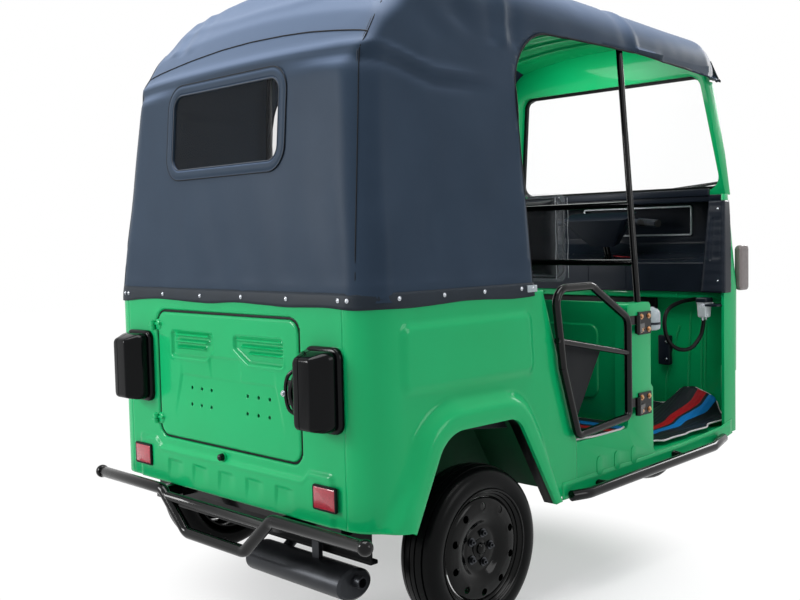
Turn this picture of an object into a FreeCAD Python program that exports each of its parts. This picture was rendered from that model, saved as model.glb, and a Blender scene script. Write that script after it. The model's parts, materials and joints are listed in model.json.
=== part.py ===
import FreeCAD, Part
import math
import os

# Sizes are in millimetres. X points to the vehicle's right, Y to its front and Z up from the road.

# Body shell
body_half_width = 650
body_taper = 38
front_half_width = body_half_width - body_taper
taper_start_y = -515
taper_end_y = 790
rear_face_y = -1246
rear_corner_radius = 110
panel_thickness = 12
pillar_depth = 50
belt_z = 962
rear_skirt_z = 356
arch_foot_z = 318
rear_seam_half_width = body_half_width - rear_corner_radius
cut_overrun = 60
seat_gap = 0.3
moving_gap = 5.5

# Side opening and posts
door_cut_top_y = -535
door_cut_bottom_y = -363
sill_top_z = 470
sill_rear_z = 312
sill_front_z = 343
b_post_rear_y = -58
b_post_front_y = 92
b_post_top_z = 890
b_post_foot_z = 590
b_post_foot_step = 14
driver_floor_z = 362
sill_corner_radius = 18
sill_oval_width = 34
sill_oval_height = 62
sill_oval_rise = 2.5
sill_oval_z = 374
sill_oval_pitch = 105
sill_oval_first_y = -235
sill_oval_count = 3

# Rear wheel arch
arch_rear_foot_y = -1145
arch_rear_top_y = -1004
arch_front_top_y = -697
arch_front_foot_y = -530
arch_top_z = 600
arch_rear_radius = 110
arch_front_radius = 70
flare_width = 88
flare_crest_width = 48
flare_rise = 40
swage_rise = 9
swage_rear_y = -1150
swage_front_y = -588
swage_foot_y = -573
swage_top_z = 912
swage_low_z = 706
swage_radius = 34

# Rear face
hatch_left_x = -370
hatch_right_x = 360
hatch_low_z = 505
hatch_top_z = 915
hatch_radius = 45
ledge_rise = 6
ledge_outer_x = 520
ledge_outer_z = 488
ledge_step_x = 395
ledge_low_z = 462
ledge_radius = 14
half_arch_count = 5
half_arch_pitch = 140
half_arch_width = 76
half_arch_z = 396
half_arch_depth = 4

# Hatch details
louvre_left_x = -270
louvre_right_x = 65
louvre_length = 202
louvre_pitch = 24
louvre_height = 12
louvre_rise = 9
louvre_top_z = 838
louvre_count = 3
plate_hole_radius = 4
plate_hole_low_z = 624
plate_hole_high_z = 676
plate_hole_left_x = -183
plate_hole_pitch = 53
plate_hole_gap = 185
plate_recess_depth = 4
plate_field_top_z = 716
plate_field_low_z = 572
plate_field_top_half = 238
plate_field_flare = 46
plate_field_radius = 16
plate_step_half = 79
plate_step_top_z = 781
pocket_outer_x = 286
pocket_inner_x = 54
pocket_top_z = 854
pocket_low_z = 769
pocket_corner_x = 96
pocket_corner_z = 802
pocket_right_corner_x = 122
pocket_radius = 9
pocket_depth = 6
hinge_pin_radius = 4
hinge_knuckle_radius = 8
hinge_knuckle_length = 18
hinge_knuckle_gap = 1
pin_clearance = 0.05
hatch_hinge_x = -379
hatch_hinge_stand = 10
hatch_hinge_low_z = 560
hatch_hinge_high_z = 865
hinge_leaf_length = 40
hinge_leaf_thickness = 3
latch_width = 52
latch_low_z = 648
latch_high_z = 770
latch_right_x = 376
latch_thickness = 16
latch_grip = 26
latch_stand = 9

# Lamps and reflectors
tail_lamp_x = 468
tail_lamp_width = 146
tail_lamp_face_x = 462
tail_lamp_face_width = 85
tail_lamp_face_inset = 16
tail_lamp_low_z = 612
tail_lamp_high_z = 845
tail_lamp_depth = 86
tail_lamp_rim = 20
tail_lamp_radius = 12
reflector_x = 463
reflector_width = 98
reflector_low_z = 398
reflector_high_z = 468
reflector_depth = 9
reflector_radius = 12
headlamp_x = 330
headlamp_z = 815
headlamp_radius = 82
headlamp_depth = 74
headlamp_ring = 8
headlamp_dome_share = 1.7
side_lamp_low_z = 892
side_lamp_high_z = 1070
side_lamp_y = 812
side_lamp_length = 74
side_lamp_depth = 30
side_lamp_radius = 18

# Canopy
canopy_thickness = 8
canopy_rear_top_y = -1190
canopy_front_y = 835
canopy_bow_z = 1632
roof_crown_z = 1990
canopy_lid_z = roof_crown_z + cut_overrun
roof_lean = 75
roof_half_width = body_half_width - roof_lean
roof_camber = 38
shoulder_drop = 190
shoulder_run = 130
side_spread = 110
door_edge_y = -578
door_arch_z = 1505
door_arch_radius = 190
valance_rear_z = 1752
valance_front_z = 1722
valance_top_y = 120
valance_bend_radius = 500
window_left_x = -306
window_right_x = 254
window_low_z = 1350
window_high_z = 1603
window_radius = 50
window_border = 24
window_border_rise = 5
window_lap = 10
window_pane_thickness = 3

# Places along the canopy: length, roof half width, hem half width, crown height and shoulder size
canopy_station_shares = [
    (-0.026, 1.00, 1.00, 0.480, 0.20),
    (0.026, 1.00, 1.00, 0.650, 0.36),
    (0.070, 1.00, 1.00, 0.800, 0.42),
    (0.133, 1.00, 1.00, 0.934, 0.62),
    (0.214, 1.00, 1.00, 0.985, 0.90),
    (0.315, 1.00, 1.00, 1.000, 1.00),
    (0.647, 0.98, 0.93, 0.966, 1.00),
    (0.930, 0.915, 0.85, 0.935, 0.72),
    (0.975, 0.860, 0.84, 0.911, 0.66),
    (1.000, 0.765, 0.80, 0.828, 0.50),
]

# Canopy frame and rails
pole_radius = 11
pole_foot_inset = 44
pole_foot_x = body_half_width - pole_foot_inset
pole_head_x = 540
pole_y = 52
rail_upper_z = 1227
rail_lower_z = 1026
hoop_y = -618
cant_rail_drop = 214
cant_rail_z = roof_crown_z - cant_rail_drop
cant_rail_rear_x = 543
cant_rail_front_x = 478
cant_rail_front_y = 744

# Roof panel
roof_panel_rear_y = -100
roof_panel_front_y = 780
roof_panel_half_width = 420
roof_panel_thickness = 5
roof_rib_count = 6
roof_rib_width = 36
roof_rib_depth = 10

# Front cowl
cowl_rear_y = 640
cowl_post_rear_y = 712
cowl_low_z = 343
cowl_arch_z = 580
cowl_waist_z = 900
cowl_top_z = 1272
cowl_corner_radius = 95
toe_board_y = 800
nose_low_y = 1092
nose_waist_y = 1118
nose_top_y = 945
nose_low_half = 330
nose_waist_half = 340
nose_top_half = 430
cowl_shoulder_y = 752
cowl_top_inset = 34
cowl_top_half_width = front_half_width - cowl_top_inset
cowl_wall = 10

# Windscreen
screen_base_y = 852
screen_lean = 6
screen_frame_depth = 56
screen_base_z = 1272
screen_low_z = 1298
screen_high_z = 1757
screen_frame_top_z = 1850
screen_side_inset = 54
screen_taper = 72
screen_low_half = cowl_top_half_width - screen_side_inset
screen_high_half = screen_low_half - screen_taper
screen_post_width = 25
screen_radius = 55
screen_seal_width = 13
screen_seal_depth = 16
screen_glass_thickness = 5
wiper_pivot_x = 120
wiper_pivot_radius = 12
wiper_arm_width = 10
wiper_arm_depth = 6
wiper_reach = 380
wiper_rise = 40
wiper_stand = 14
wiper_blade_share = 0.4

# Dashboard
dash_front_y = 722
dash_back_y = 945
dash_low_z = 886
dash_ledge_z = 1004
dash_tray_z = 1040
dash_face_y = 900
dash_top_z = 1250
dash_side_inset = 22
dash_half_width = cowl_top_half_width - dash_side_inset
dash_recess_half = 345
dash_recess_low_z = 1106
dash_recess_high_z = 1238
dash_recess_depth = 18
dash_recess_radius = 14
dash_column_hole = 34

# Floors, partition and seats
floor_thickness = 8
passenger_floor_rear_y = -560
partition_rear_y = -6
partition_thickness = 30
partition_swage_rise = 6
partition_swage_margin = 70
seat_base_front_y = -190
seat_base_toe_y = -335
seat_base_rear_y = -1120
seat_base_side_gap = 34
seat_base_half_width = body_half_width - seat_base_side_gap
seat_base_top_z = 690
seat_base_wall = 8
seat_side_rear_y = -545
driver_box_rear_y = 60
driver_box_front_y = 420
driver_box_half_width = 235
driver_box_top_z = 690
passenger_cushion_height = 115
passenger_cushion_front_y = -168
passenger_cushion_rear_y = -1040
passenger_back_thickness = 95
passenger_back_rear_y = -1150
passenger_back_top_z = 1300
passenger_seat_side_gap = 65
passenger_seat_half_width = body_half_width - passenger_seat_side_gap
driver_cushion_height = 105
driver_seat_half_width = 250
driver_cushion_front_y = 450
driver_back_thickness = 70
driver_back_low_z = 955
driver_back_top_z = 1275
cushion_radius = 28
mat_thickness = 5
mat_side_gap = 54
mat_half_width = body_half_width - mat_side_gap
driver_mat_rear_y = 426
driver_mat_front_y = 735
driver_mat_rise = 95
driver_mat_rise_y = 784
passenger_mat_rear_y = -330

# Ladder frame and head tube
rail_x = 300
frame_tube = 40
frame_rear_y = -1228
frame_front_y = 880
frame_top_z = 354
cross_member_ys = [-1180, -660, -480, 20, 500]
cross_half_width = 462
head_tube_radius = 27
head_tube_low = 405
head_tube_length = 170
jack_pad_length = 60
jack_pad_thickness = 4
jack_pad_y = -300

# Wheels
tyre_radius = 240
tyre_half_width = 66
tyre_tread_half = 50
tyre_shoulder_drop = 12
tyre_widest_radius = 198
rim_seat_radius = 152
rim_flange_radius = 172
rim_half_width = 62
rim_wall = 5
wheel_disc_outer_x = 48
wheel_disc_inner_x = 33
wheel_disc_step_radius = 104
wheel_disc_hub_radius = 62
wheel_vent_count = 10
wheel_vent_radius = 11
wheel_vent_circle = 124
wheel_nut_count = 5
wheel_nut_circle = 44
wheel_nut_radius = 9
wheel_nut_height = 13
hub_cap_radius = 26
hub_cap_height = 18
hub_cap_share = 0.8
drum_radius = 100
drum_inner_x = -40
rear_wheel_inset = 39
rear_track_x = body_half_width - rear_wheel_inset
rear_axle_y = -841
front_axle_y = 1066
axle_radius = 14
axle_length_in_hub = 30
arm_inset = 191
axle_pivot_x = rear_track_x - arm_inset

# Rear suspension
arm_width = 46
arm_height = 44
arm_pivot_radius = 24
arm_pivot_y = -480
backing_plate_radius = 96
backing_plate_thickness = 5
backing_plate_gap = 3
damper_radius = 26
damper_rod_radius = 12
damper_top_z = 636
damper_y = -800
damper_body_share = 0.55
spring_radius = 38
spring_turns = 6
spring_wire_radius = 6
drive_shaft_radius = 13
wheelhouse_depth = 184
wheelhouse_inner_x = body_half_width - wheelhouse_depth
wheelhouse_wall = 6
wheelhouse_foot_z = 362

# Engine and exhaust
engine_half_width = 180
engine_rear_y = -1060
engine_front_y = -680
engine_low_z = 205
engine_top_z = 505
muffler_left_x = 30
muffler_right_x = 462
muffler_y = -1152
muffler_z = 170
muffler_half_depth = 64
muffler_half_height = 45
muffler_hanger_width = 30
tail_pipe_radius = 17
tail_pipe_reach = 30
tail_pipe_bore_share = 0.8
down_pipe_x = 110
down_pipe_radius = 16

# Bumper and side steps
bumper_radius = 18
bumper_cap_radius = 22
bumper_y = -1300
bumper_half_width = 668
bumper_bar_z = 350
bumper_bend_x = 282
bumper_foot_x = 150
bumper_loop_z = 234
bumper_bend_radius = 45
bumper_bracket_width = 34
bumper_tie_share = 0.8
step_tube_radius = 17
step_stand = 42
step_z = 314
step_rear_y = -425
step_front_y = 590
step_rear_bend_y = -360
step_front_bend_y = 470
step_front_rise = 24
step_bend_radius = 90
step_bracket_radius = 12
step_bracket_ys = [-250, 240]
step_bracket_rise = 12
step_end_share = 1.2

# Tube doors
door_tube_radius = 13
door_stand = 19.5
door_leg_y = -86
door_top_z = 964
door_top_rear_y = -500
door_top_front_y = -300
door_shoulder_z = 845
door_low_z = 516
door_low_rear_z = 498
door_low_rear_y = -385
door_rear_top_y = -538
door_bend_radius = 48
door_bar_rear_z = 806
door_bar_front_z = 730
door_bar_radius = 10
door_hinge_y = -32
door_hinge_stand = 24
door_hinge_zs = [542, 820]
door_hinge_plate_front_y = 86
door_hinge_plate_rear_y = 6
door_hinge_plate_height = 78
door_hinge_plate_thickness = 6
door_knuckle_radius = 10
door_knuckle_length = 30
door_pin_radius = 5

# Steering
steering_rake = 19
steering_offset = 20
stem_radius = 14
stem_top = 996
yoke_low = 292
yoke_height = 26
yoke_depth = 60
fork_leg_x = 94
fork_leg_radius = 17
fork_axle_radius = 10
handlebar_radius = 11
handlebar_rise = 10
handlebar_riser_x = 80
handlebar_end_x = 338
handlebar_sweep = 100
handlebar_bend_radius = 60
grip_radius = 16
grip_length = 118
head_cover_half_width = 168
head_cover_foot_half = 62
head_cover_rear = -62
head_cover_front = 42
head_cover_low = 895
head_cover_top = 1025
mudguard_gap = 22
mudguard_thickness = 4
mudguard_half_width = 68
mudguard_front_angle = -8
mudguard_rear_angle = 122

# Brake fluid pot
pot_x = 530
pot_y = 628
pot_low_z = 790
pot_radius = 22
pot_height = 62
pot_cap_height = 14
pot_cap_radius = 25
pot_bracket_width = 30


def point(x, y, z):
    return FreeCAD.Vector(x, y, z)


x_axis = point(1, 0, 0)
y_axis = point(0, 1, 0)
z_axis = point(0, 0, 1)


def box(x_low, x_high, y_low, y_high, z_low, z_high):
    return Part.makeBox(x_high - x_low, y_high - y_low, z_high - z_low, point(x_low, y_low, z_low))


def rod(start, end, radius):
    return Part.makeCylinder(radius, start.distanceToPoint(end), start, end - start)


def fuse(shapes):
    whole = shapes[0]
    if len(shapes) > 1:
        whole = shapes[0].fuse(shapes[1:])
    return whole.removeSplitter()


def mirrored(shape):
    return shape.mirror(point(0, 0, 0), x_axis)


def both_sides(shape):
    return Part.makeCompound([shape, mirrored(shape)])


# An outline is a list of corners (u, v, corner radius). A positive amount makes it larger all round.
def grown(outline, amount):
    count = len(outline)
    area = 0
    for index in range(count):
        u0, v0, r0 = outline[index - 1]
        u1, v1, r1 = outline[index]
        area += u0 * v1 - u1 * v0
    turn = math.copysign(1, area)
    result = []
    for index in range(count):
        u0, v0, r0 = outline[index - 1]
        u1, v1, r1 = outline[index]
        u2, v2, r2 = outline[(index + 1) % count]
        before = math.hypot(u1 - u0, v1 - v0)
        after = math.hypot(u2 - u1, v2 - v1)
        nu0, nv0 = turn * (v1 - v0) / before, -turn * (u1 - u0) / before
        nu1, nv1 = turn * (v2 - v1) / after, -turn * (u2 - u1) / after
        scale = amount / (1 + nu0 * nu1 + nv0 * nv1)
        bend = turn * ((u1 - u0) * (v2 - v1) - (v1 - v0) * (u2 - u1))
        radius = 0
        if r1 > 0:
            radius = max(r1 + math.copysign(amount, bend) if amount > 0 else r1 + amount * math.copysign(1, bend), 0)
        result.append((u1 + (nu0 + nu1) * scale, v1 + (nv0 + nv1) * scale, radius))
    return result


def corner_arc(before, corner, after, radius):
    back = (before - corner).normalize()
    ahead = (after - corner).normalize()
    half_turn = back.getAngle(ahead) / 2
    middle = (back + ahead).normalize()
    centre = corner + middle * (radius / math.sin(half_turn))
    reach = radius / math.tan(half_turn)
    return corner + back * reach, centre - middle * radius, corner + ahead * reach


# A closed wire through corner points, each with its own rounding
def rounded_wire(corners, radii):
    count = len(corners)
    edges = []
    ends = []
    for index in range(count):
        if radii[index] > 0:
            ahead = corners[(index + 1) % count]
            start, middle, end = corner_arc(corners[index - 1], corners[index], ahead, radii[index])
            edges.append(Part.Arc(start, middle, end).toShape())
            ends.append((start, end))
        else:
            ends.append((corners[index], corners[index]))
    for index in range(count):
        start = ends[index][1]
        end = ends[(index + 1) % count][0]
        if start.distanceToPoint(end) > seat_gap * seat_gap:
            edges.append(Part.LineSegment(start, end).toShape())
    return Part.Wire(Part.__sortEdges__(edges))


def yz_wire(outline, x):
    return rounded_wire([point(x, u, v) for u, v, r in outline], [r for u, v, r in outline])


def xz_wire(outline, y):
    return rounded_wire([point(u, y, v) for u, v, r in outline], [r for u, v, r in outline])


def xy_wire(outline, z):
    return rounded_wire([point(u, v, z) for u, v, r in outline], [r for u, v, r in outline])


def yz_prism(outline, x_low, x_high):
    return Part.Face(yz_wire(outline, x_low)).extrude(x_axis * (x_high - x_low))


def xz_prism(outline, y_low, y_high):
    return Part.Face(xz_wire(outline, y_low)).extrude(y_axis * (y_high - y_low))


def xy_prism(outline, z_low, z_high):
    return Part.Face(xy_wire(outline, z_low)).extrude(z_axis * (z_high - z_low))


def rectangle(u_low, u_high, v_low, v_high, radius):
    return [(u_low, v_low, radius), (u_high, v_low, radius), (u_high, v_high, radius), (u_low, v_high, radius)]


# A round tube along straight runs joined by arcs
def tube(points, bend_radius, radius):
    edges = []
    start = points[0]
    for index in range(1, len(points) - 1):
        first, middle, last = corner_arc(points[index - 1], points[index], points[index + 1], bend_radius)
        edges.append(Part.LineSegment(start, first).toShape())
        edges.append(Part.Arc(first, middle, last).toShape())
        start = last
    edges.append(Part.LineSegment(start, points[-1]).toShape())
    circle = Part.Wire(Part.makeCircle(radius, points[0], points[1] - points[0]))
    return Part.Wire(edges).makePipeShell([circle], True, True)


def rounded_box(x_low, x_high, y_low, y_high, z_low, z_high, radius):
    block = box(x_low, x_high, y_low, y_high, z_low, z_high)
    return block.makeFillet(radius, block.Edges)


# Half width of the body at a place along its length
def side_x(y):
    if y <= taper_start_y:
        return body_half_width
    share = (y - taper_start_y) / (taper_end_y - taper_start_y)
    return body_half_width + (front_half_width - body_half_width) * share


# Plan of the body, made smaller by an inset
def body_plan(inset):
    outline = [
        (-body_half_width, rear_face_y, rear_corner_radius),
        (body_half_width, rear_face_y, rear_corner_radius),
        (body_half_width, taper_start_y, 0),
        (front_half_width, taper_end_y, 0),
        (-front_half_width, taper_end_y, 0),
        (-body_half_width, taper_start_y, 0),
    ]
    return grown(outline, -inset)


def body_shell(depth, z_low, z_high):
    outer = xy_prism(body_plan(0), z_low, z_high)
    inner = xy_prism(body_plan(depth), z_low - cut_overrun, z_high + cut_overrun)
    return outer.cut(inner)


# Opening of the rear wheel arch, grown for the flare and the wheelhouse
def arch_outline(amount):
    foot_z = arch_foot_z - cut_overrun
    slope = (arch_rear_top_y - arch_rear_foot_y) / (arch_top_z - arch_foot_z)
    front_slope = (arch_front_foot_y - arch_front_top_y) / (arch_top_z - arch_foot_z)
    outline = [
        (arch_rear_foot_y - slope * cut_overrun, foot_z, 0),
        (arch_front_foot_y + front_slope * cut_overrun, foot_z, 0),
        (arch_front_top_y, arch_top_z, arch_front_radius),
        (arch_rear_top_y, arch_top_z, arch_rear_radius),
    ]
    return grown(outline, amount)


def make_quarter_panel():
    skirt = [
        (rear_face_y - cut_overrun, rear_skirt_z, 0),
        (arch_rear_foot_y, rear_skirt_z, 0),
        (arch_rear_foot_y + cut_overrun, arch_foot_z, 0),
        (door_cut_bottom_y, sill_rear_z, 0),
        (door_cut_bottom_y, sill_top_z, 0),
        (door_cut_top_y, belt_z, 0),
        (rear_face_y - cut_overrun, belt_z, 0),
    ]
    reach = body_half_width + flare_rise
    side = body_shell(panel_thickness, sill_rear_z, belt_z)
    side = side.common(yz_prism(skirt, rear_seam_half_width, reach))
    flare_base = yz_wire(arch_outline(flare_width), body_half_width - panel_thickness)
    flare_crest = yz_wire(arch_outline(flare_crest_width), body_half_width + flare_rise)
    flare = Part.makeLoft([flare_base, flare_crest], True, True)
    flare = flare.common(yz_prism(skirt, body_half_width - panel_thickness, reach + cut_overrun))
    swage = [
        (swage_rear_y, swage_low_z, swage_radius),
        (swage_foot_y, swage_low_z, swage_radius),
        (swage_front_y, swage_top_z, swage_radius),
        (swage_rear_y, swage_top_z, swage_radius),
    ]
    swage_foot = yz_wire(swage, body_half_width - panel_thickness / 2)
    swage_crest = yz_wire(grown(swage, -swage_rise - swage_rise), body_half_width + swage_rise)
    pad = Part.makeLoft([swage_foot, swage_crest], True, True)
    opening = yz_prism(arch_outline(0), rear_seam_half_width - cut_overrun, reach + cut_overrun)
    return fuse([side, flare, pad]).cut(opening)


def make_side_panel():
    sill = [
        (door_cut_bottom_y, sill_rear_z, 0),
        (cowl_rear_y, sill_front_z, 0),
        (cowl_rear_y, driver_floor_z, 0),
        (b_post_front_y + b_post_foot_step, driver_floor_z, sill_corner_radius),
        (b_post_front_y + b_post_foot_step, b_post_foot_z, 0),
        (b_post_front_y, b_post_foot_z + b_post_foot_step, 0),
        (b_post_front_y, b_post_top_z, sill_corner_radius),
        (b_post_rear_y, b_post_top_z, sill_corner_radius),
        (b_post_rear_y, sill_top_z, sill_corner_radius),
        (door_cut_bottom_y, sill_top_z, 0),
    ]
    panel = body_shell(pillar_depth, sill_rear_z, b_post_top_z)
    panel = panel.common(yz_prism(sill, 0, body_half_width + cut_overrun))
    ovals = []
    for index in range(sill_oval_count):
        y = sill_oval_first_y + sill_oval_pitch * index
        x = side_x(y)
        oval = rectangle(y - sill_oval_width / 2, y + sill_oval_width / 2,
                         sill_oval_z - sill_oval_height / 2, sill_oval_z + sill_oval_height / 2,
                         sill_oval_width / 2 - seat_gap)
        ovals.append(yz_prism(oval, x - panel_thickness, x + sill_oval_rise))
    return fuse([panel] + ovals)


def hatch_outline():
    return rectangle(hatch_left_x, hatch_right_x, hatch_low_z, hatch_top_z, hatch_radius)


# One half of a lift-off hinge: a round knuckle with a flat leaf to the panel beside it
def hatch_knuckle(z_low, leaf_direction):
    y = rear_face_y - hatch_hinge_stand
    knuckle = rod(point(hatch_hinge_x, y, z_low), point(hatch_hinge_x, y, z_low + hinge_knuckle_length),
                  hinge_knuckle_radius)
    x_end = hatch_hinge_x + leaf_direction * hinge_leaf_length
    leaf = box(min(hatch_hinge_x, x_end), max(hatch_hinge_x, x_end),
               rear_face_y - hinge_leaf_thickness, rear_face_y, z_low, z_low + hinge_knuckle_length)
    web = box(min(hatch_hinge_x, hatch_hinge_x + leaf_direction * hinge_knuckle_radius),
              max(hatch_hinge_x, hatch_hinge_x + leaf_direction * hinge_knuckle_radius),
              y, rear_face_y - hinge_leaf_thickness, z_low, z_low + hinge_knuckle_length)
    return fuse([knuckle, leaf, web])


def make_rear_panel():
    panel = box(-rear_seam_half_width, rear_seam_half_width, rear_face_y, rear_face_y + panel_thickness,
                rear_skirt_z, belt_z)
    ledge = [
        (-ledge_outer_x, rear_skirt_z, 0),
        (ledge_outer_x, rear_skirt_z, 0),
        (ledge_outer_x, ledge_outer_z, ledge_radius),
        (ledge_step_x, ledge_outer_z, ledge_radius),
        (ledge_step_x - ledge_outer_z + ledge_low_z, ledge_low_z, ledge_radius),
        (-ledge_step_x + ledge_outer_z - ledge_low_z, ledge_low_z, ledge_radius),
        (-ledge_step_x, ledge_outer_z, ledge_radius),
        (-ledge_outer_x, ledge_outer_z, ledge_radius),
    ]
    shelf = xz_prism(ledge, rear_face_y - ledge_rise, rear_face_y + panel_thickness)
    whole = fuse([panel, shelf])
    for index in range(half_arch_count):
        x = (index - (half_arch_count - 1) / 2) * half_arch_pitch
        hollow = rod(point(x, rear_face_y - ledge_rise - cut_overrun, half_arch_z),
                     point(x, rear_face_y - ledge_rise + half_arch_depth, half_arch_z), half_arch_width / 2)
        upper = box(x - half_arch_width, x + half_arch_width, rear_face_y - cut_overrun * 2,
                    rear_face_y + panel_thickness, half_arch_z, half_arch_z + half_arch_width)
        whole = whole.cut(hollow.common(upper))
    whole = whole.cut(xz_prism(hatch_outline(), rear_face_y - cut_overrun, rear_face_y + cut_overrun))
    for z in (hatch_hinge_low_z, hatch_hinge_high_z):
        pin = rod(point(hatch_hinge_x, rear_face_y - hatch_hinge_stand, z - hinge_knuckle_length),
                  point(hatch_hinge_x, rear_face_y - hatch_hinge_stand, z + hinge_knuckle_length),
                  hinge_pin_radius)
        whole = fuse([whole, hatch_knuckle(z - hinge_knuckle_length, -1), pin])
    return whole


# A pressed pocket round one set of louvres, with its lower inner corner cut off
def hatch_pocket(side, corner_x):
    return [
        (side * pocket_outer_x, pocket_low_z, pocket_radius),
        (side * pocket_outer_x, pocket_top_z, pocket_radius),
        (side * pocket_inner_x, pocket_top_z, pocket_radius),
        (side * pocket_inner_x, pocket_corner_z, pocket_radius),
        (side * corner_x, pocket_low_z, pocket_radius),
    ]


def make_hatch_panel():
    rear_y = rear_face_y
    door = xz_prism(grown(hatch_outline(), -moving_gap), rear_y, rear_y + panel_thickness)
    for pocket in (hatch_pocket(-1, pocket_corner_x), hatch_pocket(1, pocket_right_corner_x)):
        door = door.cut(xz_prism(pocket, rear_y - cut_overrun, rear_y + pocket_depth))
    for left_x in (louvre_left_x, louvre_right_x):
        for index in range(louvre_count):
            z = louvre_top_z - louvre_pitch * index
            length = louvre_length - index * louvre_pitch
            low_x = left_x + (louvre_length - length if left_x > 0 else 0)
            base_y = rear_y + pocket_depth
            lip = [(base_y, z), (base_y - louvre_rise, z - louvre_height), (base_y, z - louvre_height)]
            hood = Part.Face(Part.makePolygon([point(low_x, u, v) for u, v in lip + lip[:1]]))
            door = door.fuse(hood.extrude(x_axis * length))
    low_half = plate_field_top_half + plate_field_flare
    recess = [
        (-low_half, plate_field_low_z, plate_field_radius),
        (low_half, plate_field_low_z, plate_field_radius),
        (plate_field_top_half, plate_field_top_z, plate_field_radius),
        (-plate_field_top_half, plate_field_top_z, plate_field_radius),
    ]
    step = rectangle(-plate_step_half, plate_step_half, plate_field_top_z - plate_field_radius, plate_step_top_z,
                     pocket_radius)
    for field in (recess, step):
        door = door.cut(xz_prism(field, rear_y - cut_overrun, rear_y + plate_recess_depth))
    for x in plate_hole_xs():
        for z in (plate_hole_low_z, plate_hole_high_z):
            door = door.cut(rod(point(x, rear_y - cut_overrun, z), point(x, rear_y + cut_overrun, z),
                                plate_hole_radius))
    for z in (hatch_hinge_low_z, hatch_hinge_high_z):
        low_z = z + hinge_knuckle_gap
        door = door.fuse(hatch_knuckle(low_z, 1))
        bore = rod(point(hatch_hinge_x, rear_y - hatch_hinge_stand, low_z - cut_overrun),
                   point(hatch_hinge_x, rear_y - hatch_hinge_stand, low_z + cut_overrun),
                   hinge_pin_radius + pin_clearance)
        door = door.cut(bore)
    return door.removeSplitter()


def plate_hole_xs():
    left = [plate_hole_left_x + plate_hole_pitch * index for index in range(3)]
    right = [left[-1] + plate_hole_gap + plate_hole_pitch * index for index in range(3)]
    return left + right


# A curved pull handle that bridges the hatch edge
def make_hatch_handle():
    left_x = latch_right_x - latch_width
    seat_y = rear_face_y - latch_stand - latch_thickness / 2
    seat = rounded_box(left_x, hatch_right_x - moving_gap - seat_gap, seat_y, rear_face_y,
                       latch_low_z + latch_grip, latch_high_z - latch_grip, latch_thickness / 5)
    grip_path = [
        point(latch_right_x - latch_thickness / 2, rear_face_y - latch_stand - latch_thickness / 2, latch_low_z),
        point(left_x + latch_thickness, rear_face_y - latch_stand - latch_thickness, (latch_low_z + latch_high_z) / 2),
        point(latch_right_x - latch_thickness / 2, rear_face_y - latch_stand - latch_thickness / 2, latch_high_z),
    ]
    grip = tube(grip_path, latch_width, latch_thickness / 2)
    return fuse([seat, grip])


def make_wheelhouse():
    outer = yz_prism(arch_outline(wheelhouse_wall), wheelhouse_inner_x, body_half_width - panel_thickness)
    hollow = yz_prism(arch_outline(0), wheelhouse_inner_x + wheelhouse_wall, body_half_width + cut_overrun)
    keep = box(0, body_half_width, rear_face_y + panel_thickness, door_cut_bottom_y,
               wheelhouse_foot_z, belt_z)
    return outer.cut(hollow).common(keep)


def canopy_y(share):
    return rear_face_y + (canopy_front_y - rear_face_y) * share


# One cross-section of the canopy: sides that lean in, round shoulders and a cambered roof
def canopy_section(station, inset, is_front):
    along, roof_share, hem_share, crown_share, shoulder_share = station
    y = canopy_y(along) - (inset if is_front else 0)
    low_z = belt_z - (cut_overrun if inset > 0 else 0)
    hem = body_half_width * hem_share - inset
    half = roof_half_width * roof_share - inset
    crown_z = belt_z + (roof_crown_z - belt_z) * crown_share - inset
    shoulder_z = crown_z - roof_camber - shoulder_drop * shoulder_share
    roof_z = crown_z - roof_camber
    roof_half = half - shoulder_run * shoulder_share
    blend = 1 - math.sqrt(0.5)
    middle_x = half * (1 - 2 * blend) + (half + roof_half) * blend
    middle_z = roof_z * (1 - 2 * blend) + (shoulder_z + roof_z) * blend
    right = [point(hem, y, low_z), point(half, y, shoulder_z)]
    edges = [
        Part.LineSegment(point(-hem, y, low_z), right[0]).toShape(),
        Part.LineSegment(right[0], right[1]).toShape(),
        Part.Arc(right[1], point(middle_x, y, middle_z), point(roof_half, y, roof_z)).toShape(),
        Part.Arc(point(roof_half, y, roof_z), point(0, y, crown_z), point(-roof_half, y, roof_z)).toShape(),
        Part.Arc(point(-roof_half, y, roof_z), point(-middle_x, y, middle_z), point(-half, y, shoulder_z)).toShape(),
        Part.LineSegment(point(-half, y, shoulder_z), point(-hem, y, low_z)).toShape(),
    ]
    return Part.Wire(edges)


# Plan of the rear wall at one height, with round corners and sides that spread forwards
def canopy_plan(rear_y, half_width, inset, z):
    outline = [
        (-half_width, rear_y, rear_corner_radius),
        (half_width, rear_y, rear_corner_radius),
        (half_width + side_spread, canopy_front_y + cut_overrun, 0),
        (-half_width - side_spread, canopy_front_y + cut_overrun, 0),
    ]
    return xy_wire(grown(outline, -inset), z)


# The solid form of the canopy, made smaller all round by an inset
def canopy_form(inset):
    last = len(canopy_station_shares) - 1
    sections = []
    for index, station in enumerate(canopy_station_shares):
        sections.append(canopy_section(station, inset, index == last))
    hull = Part.makeLoft(sections, True, True)
    low_z = belt_z - (cut_overrun if inset > 0 else 0)
    wall = Part.makeLoft([
        canopy_plan(rear_face_y, body_half_width, inset, low_z),
        canopy_plan(canopy_rear_top_y, roof_half_width, inset, canopy_bow_z),
    ], True, True)
    lid = Part.makeLoft([
        canopy_plan(canopy_rear_top_y, roof_half_width, inset, canopy_bow_z),
        canopy_plan(canopy_rear_top_y, roof_half_width, inset, canopy_lid_z),
    ], True, True)
    return hull.common(wall.fuse(lid))


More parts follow.
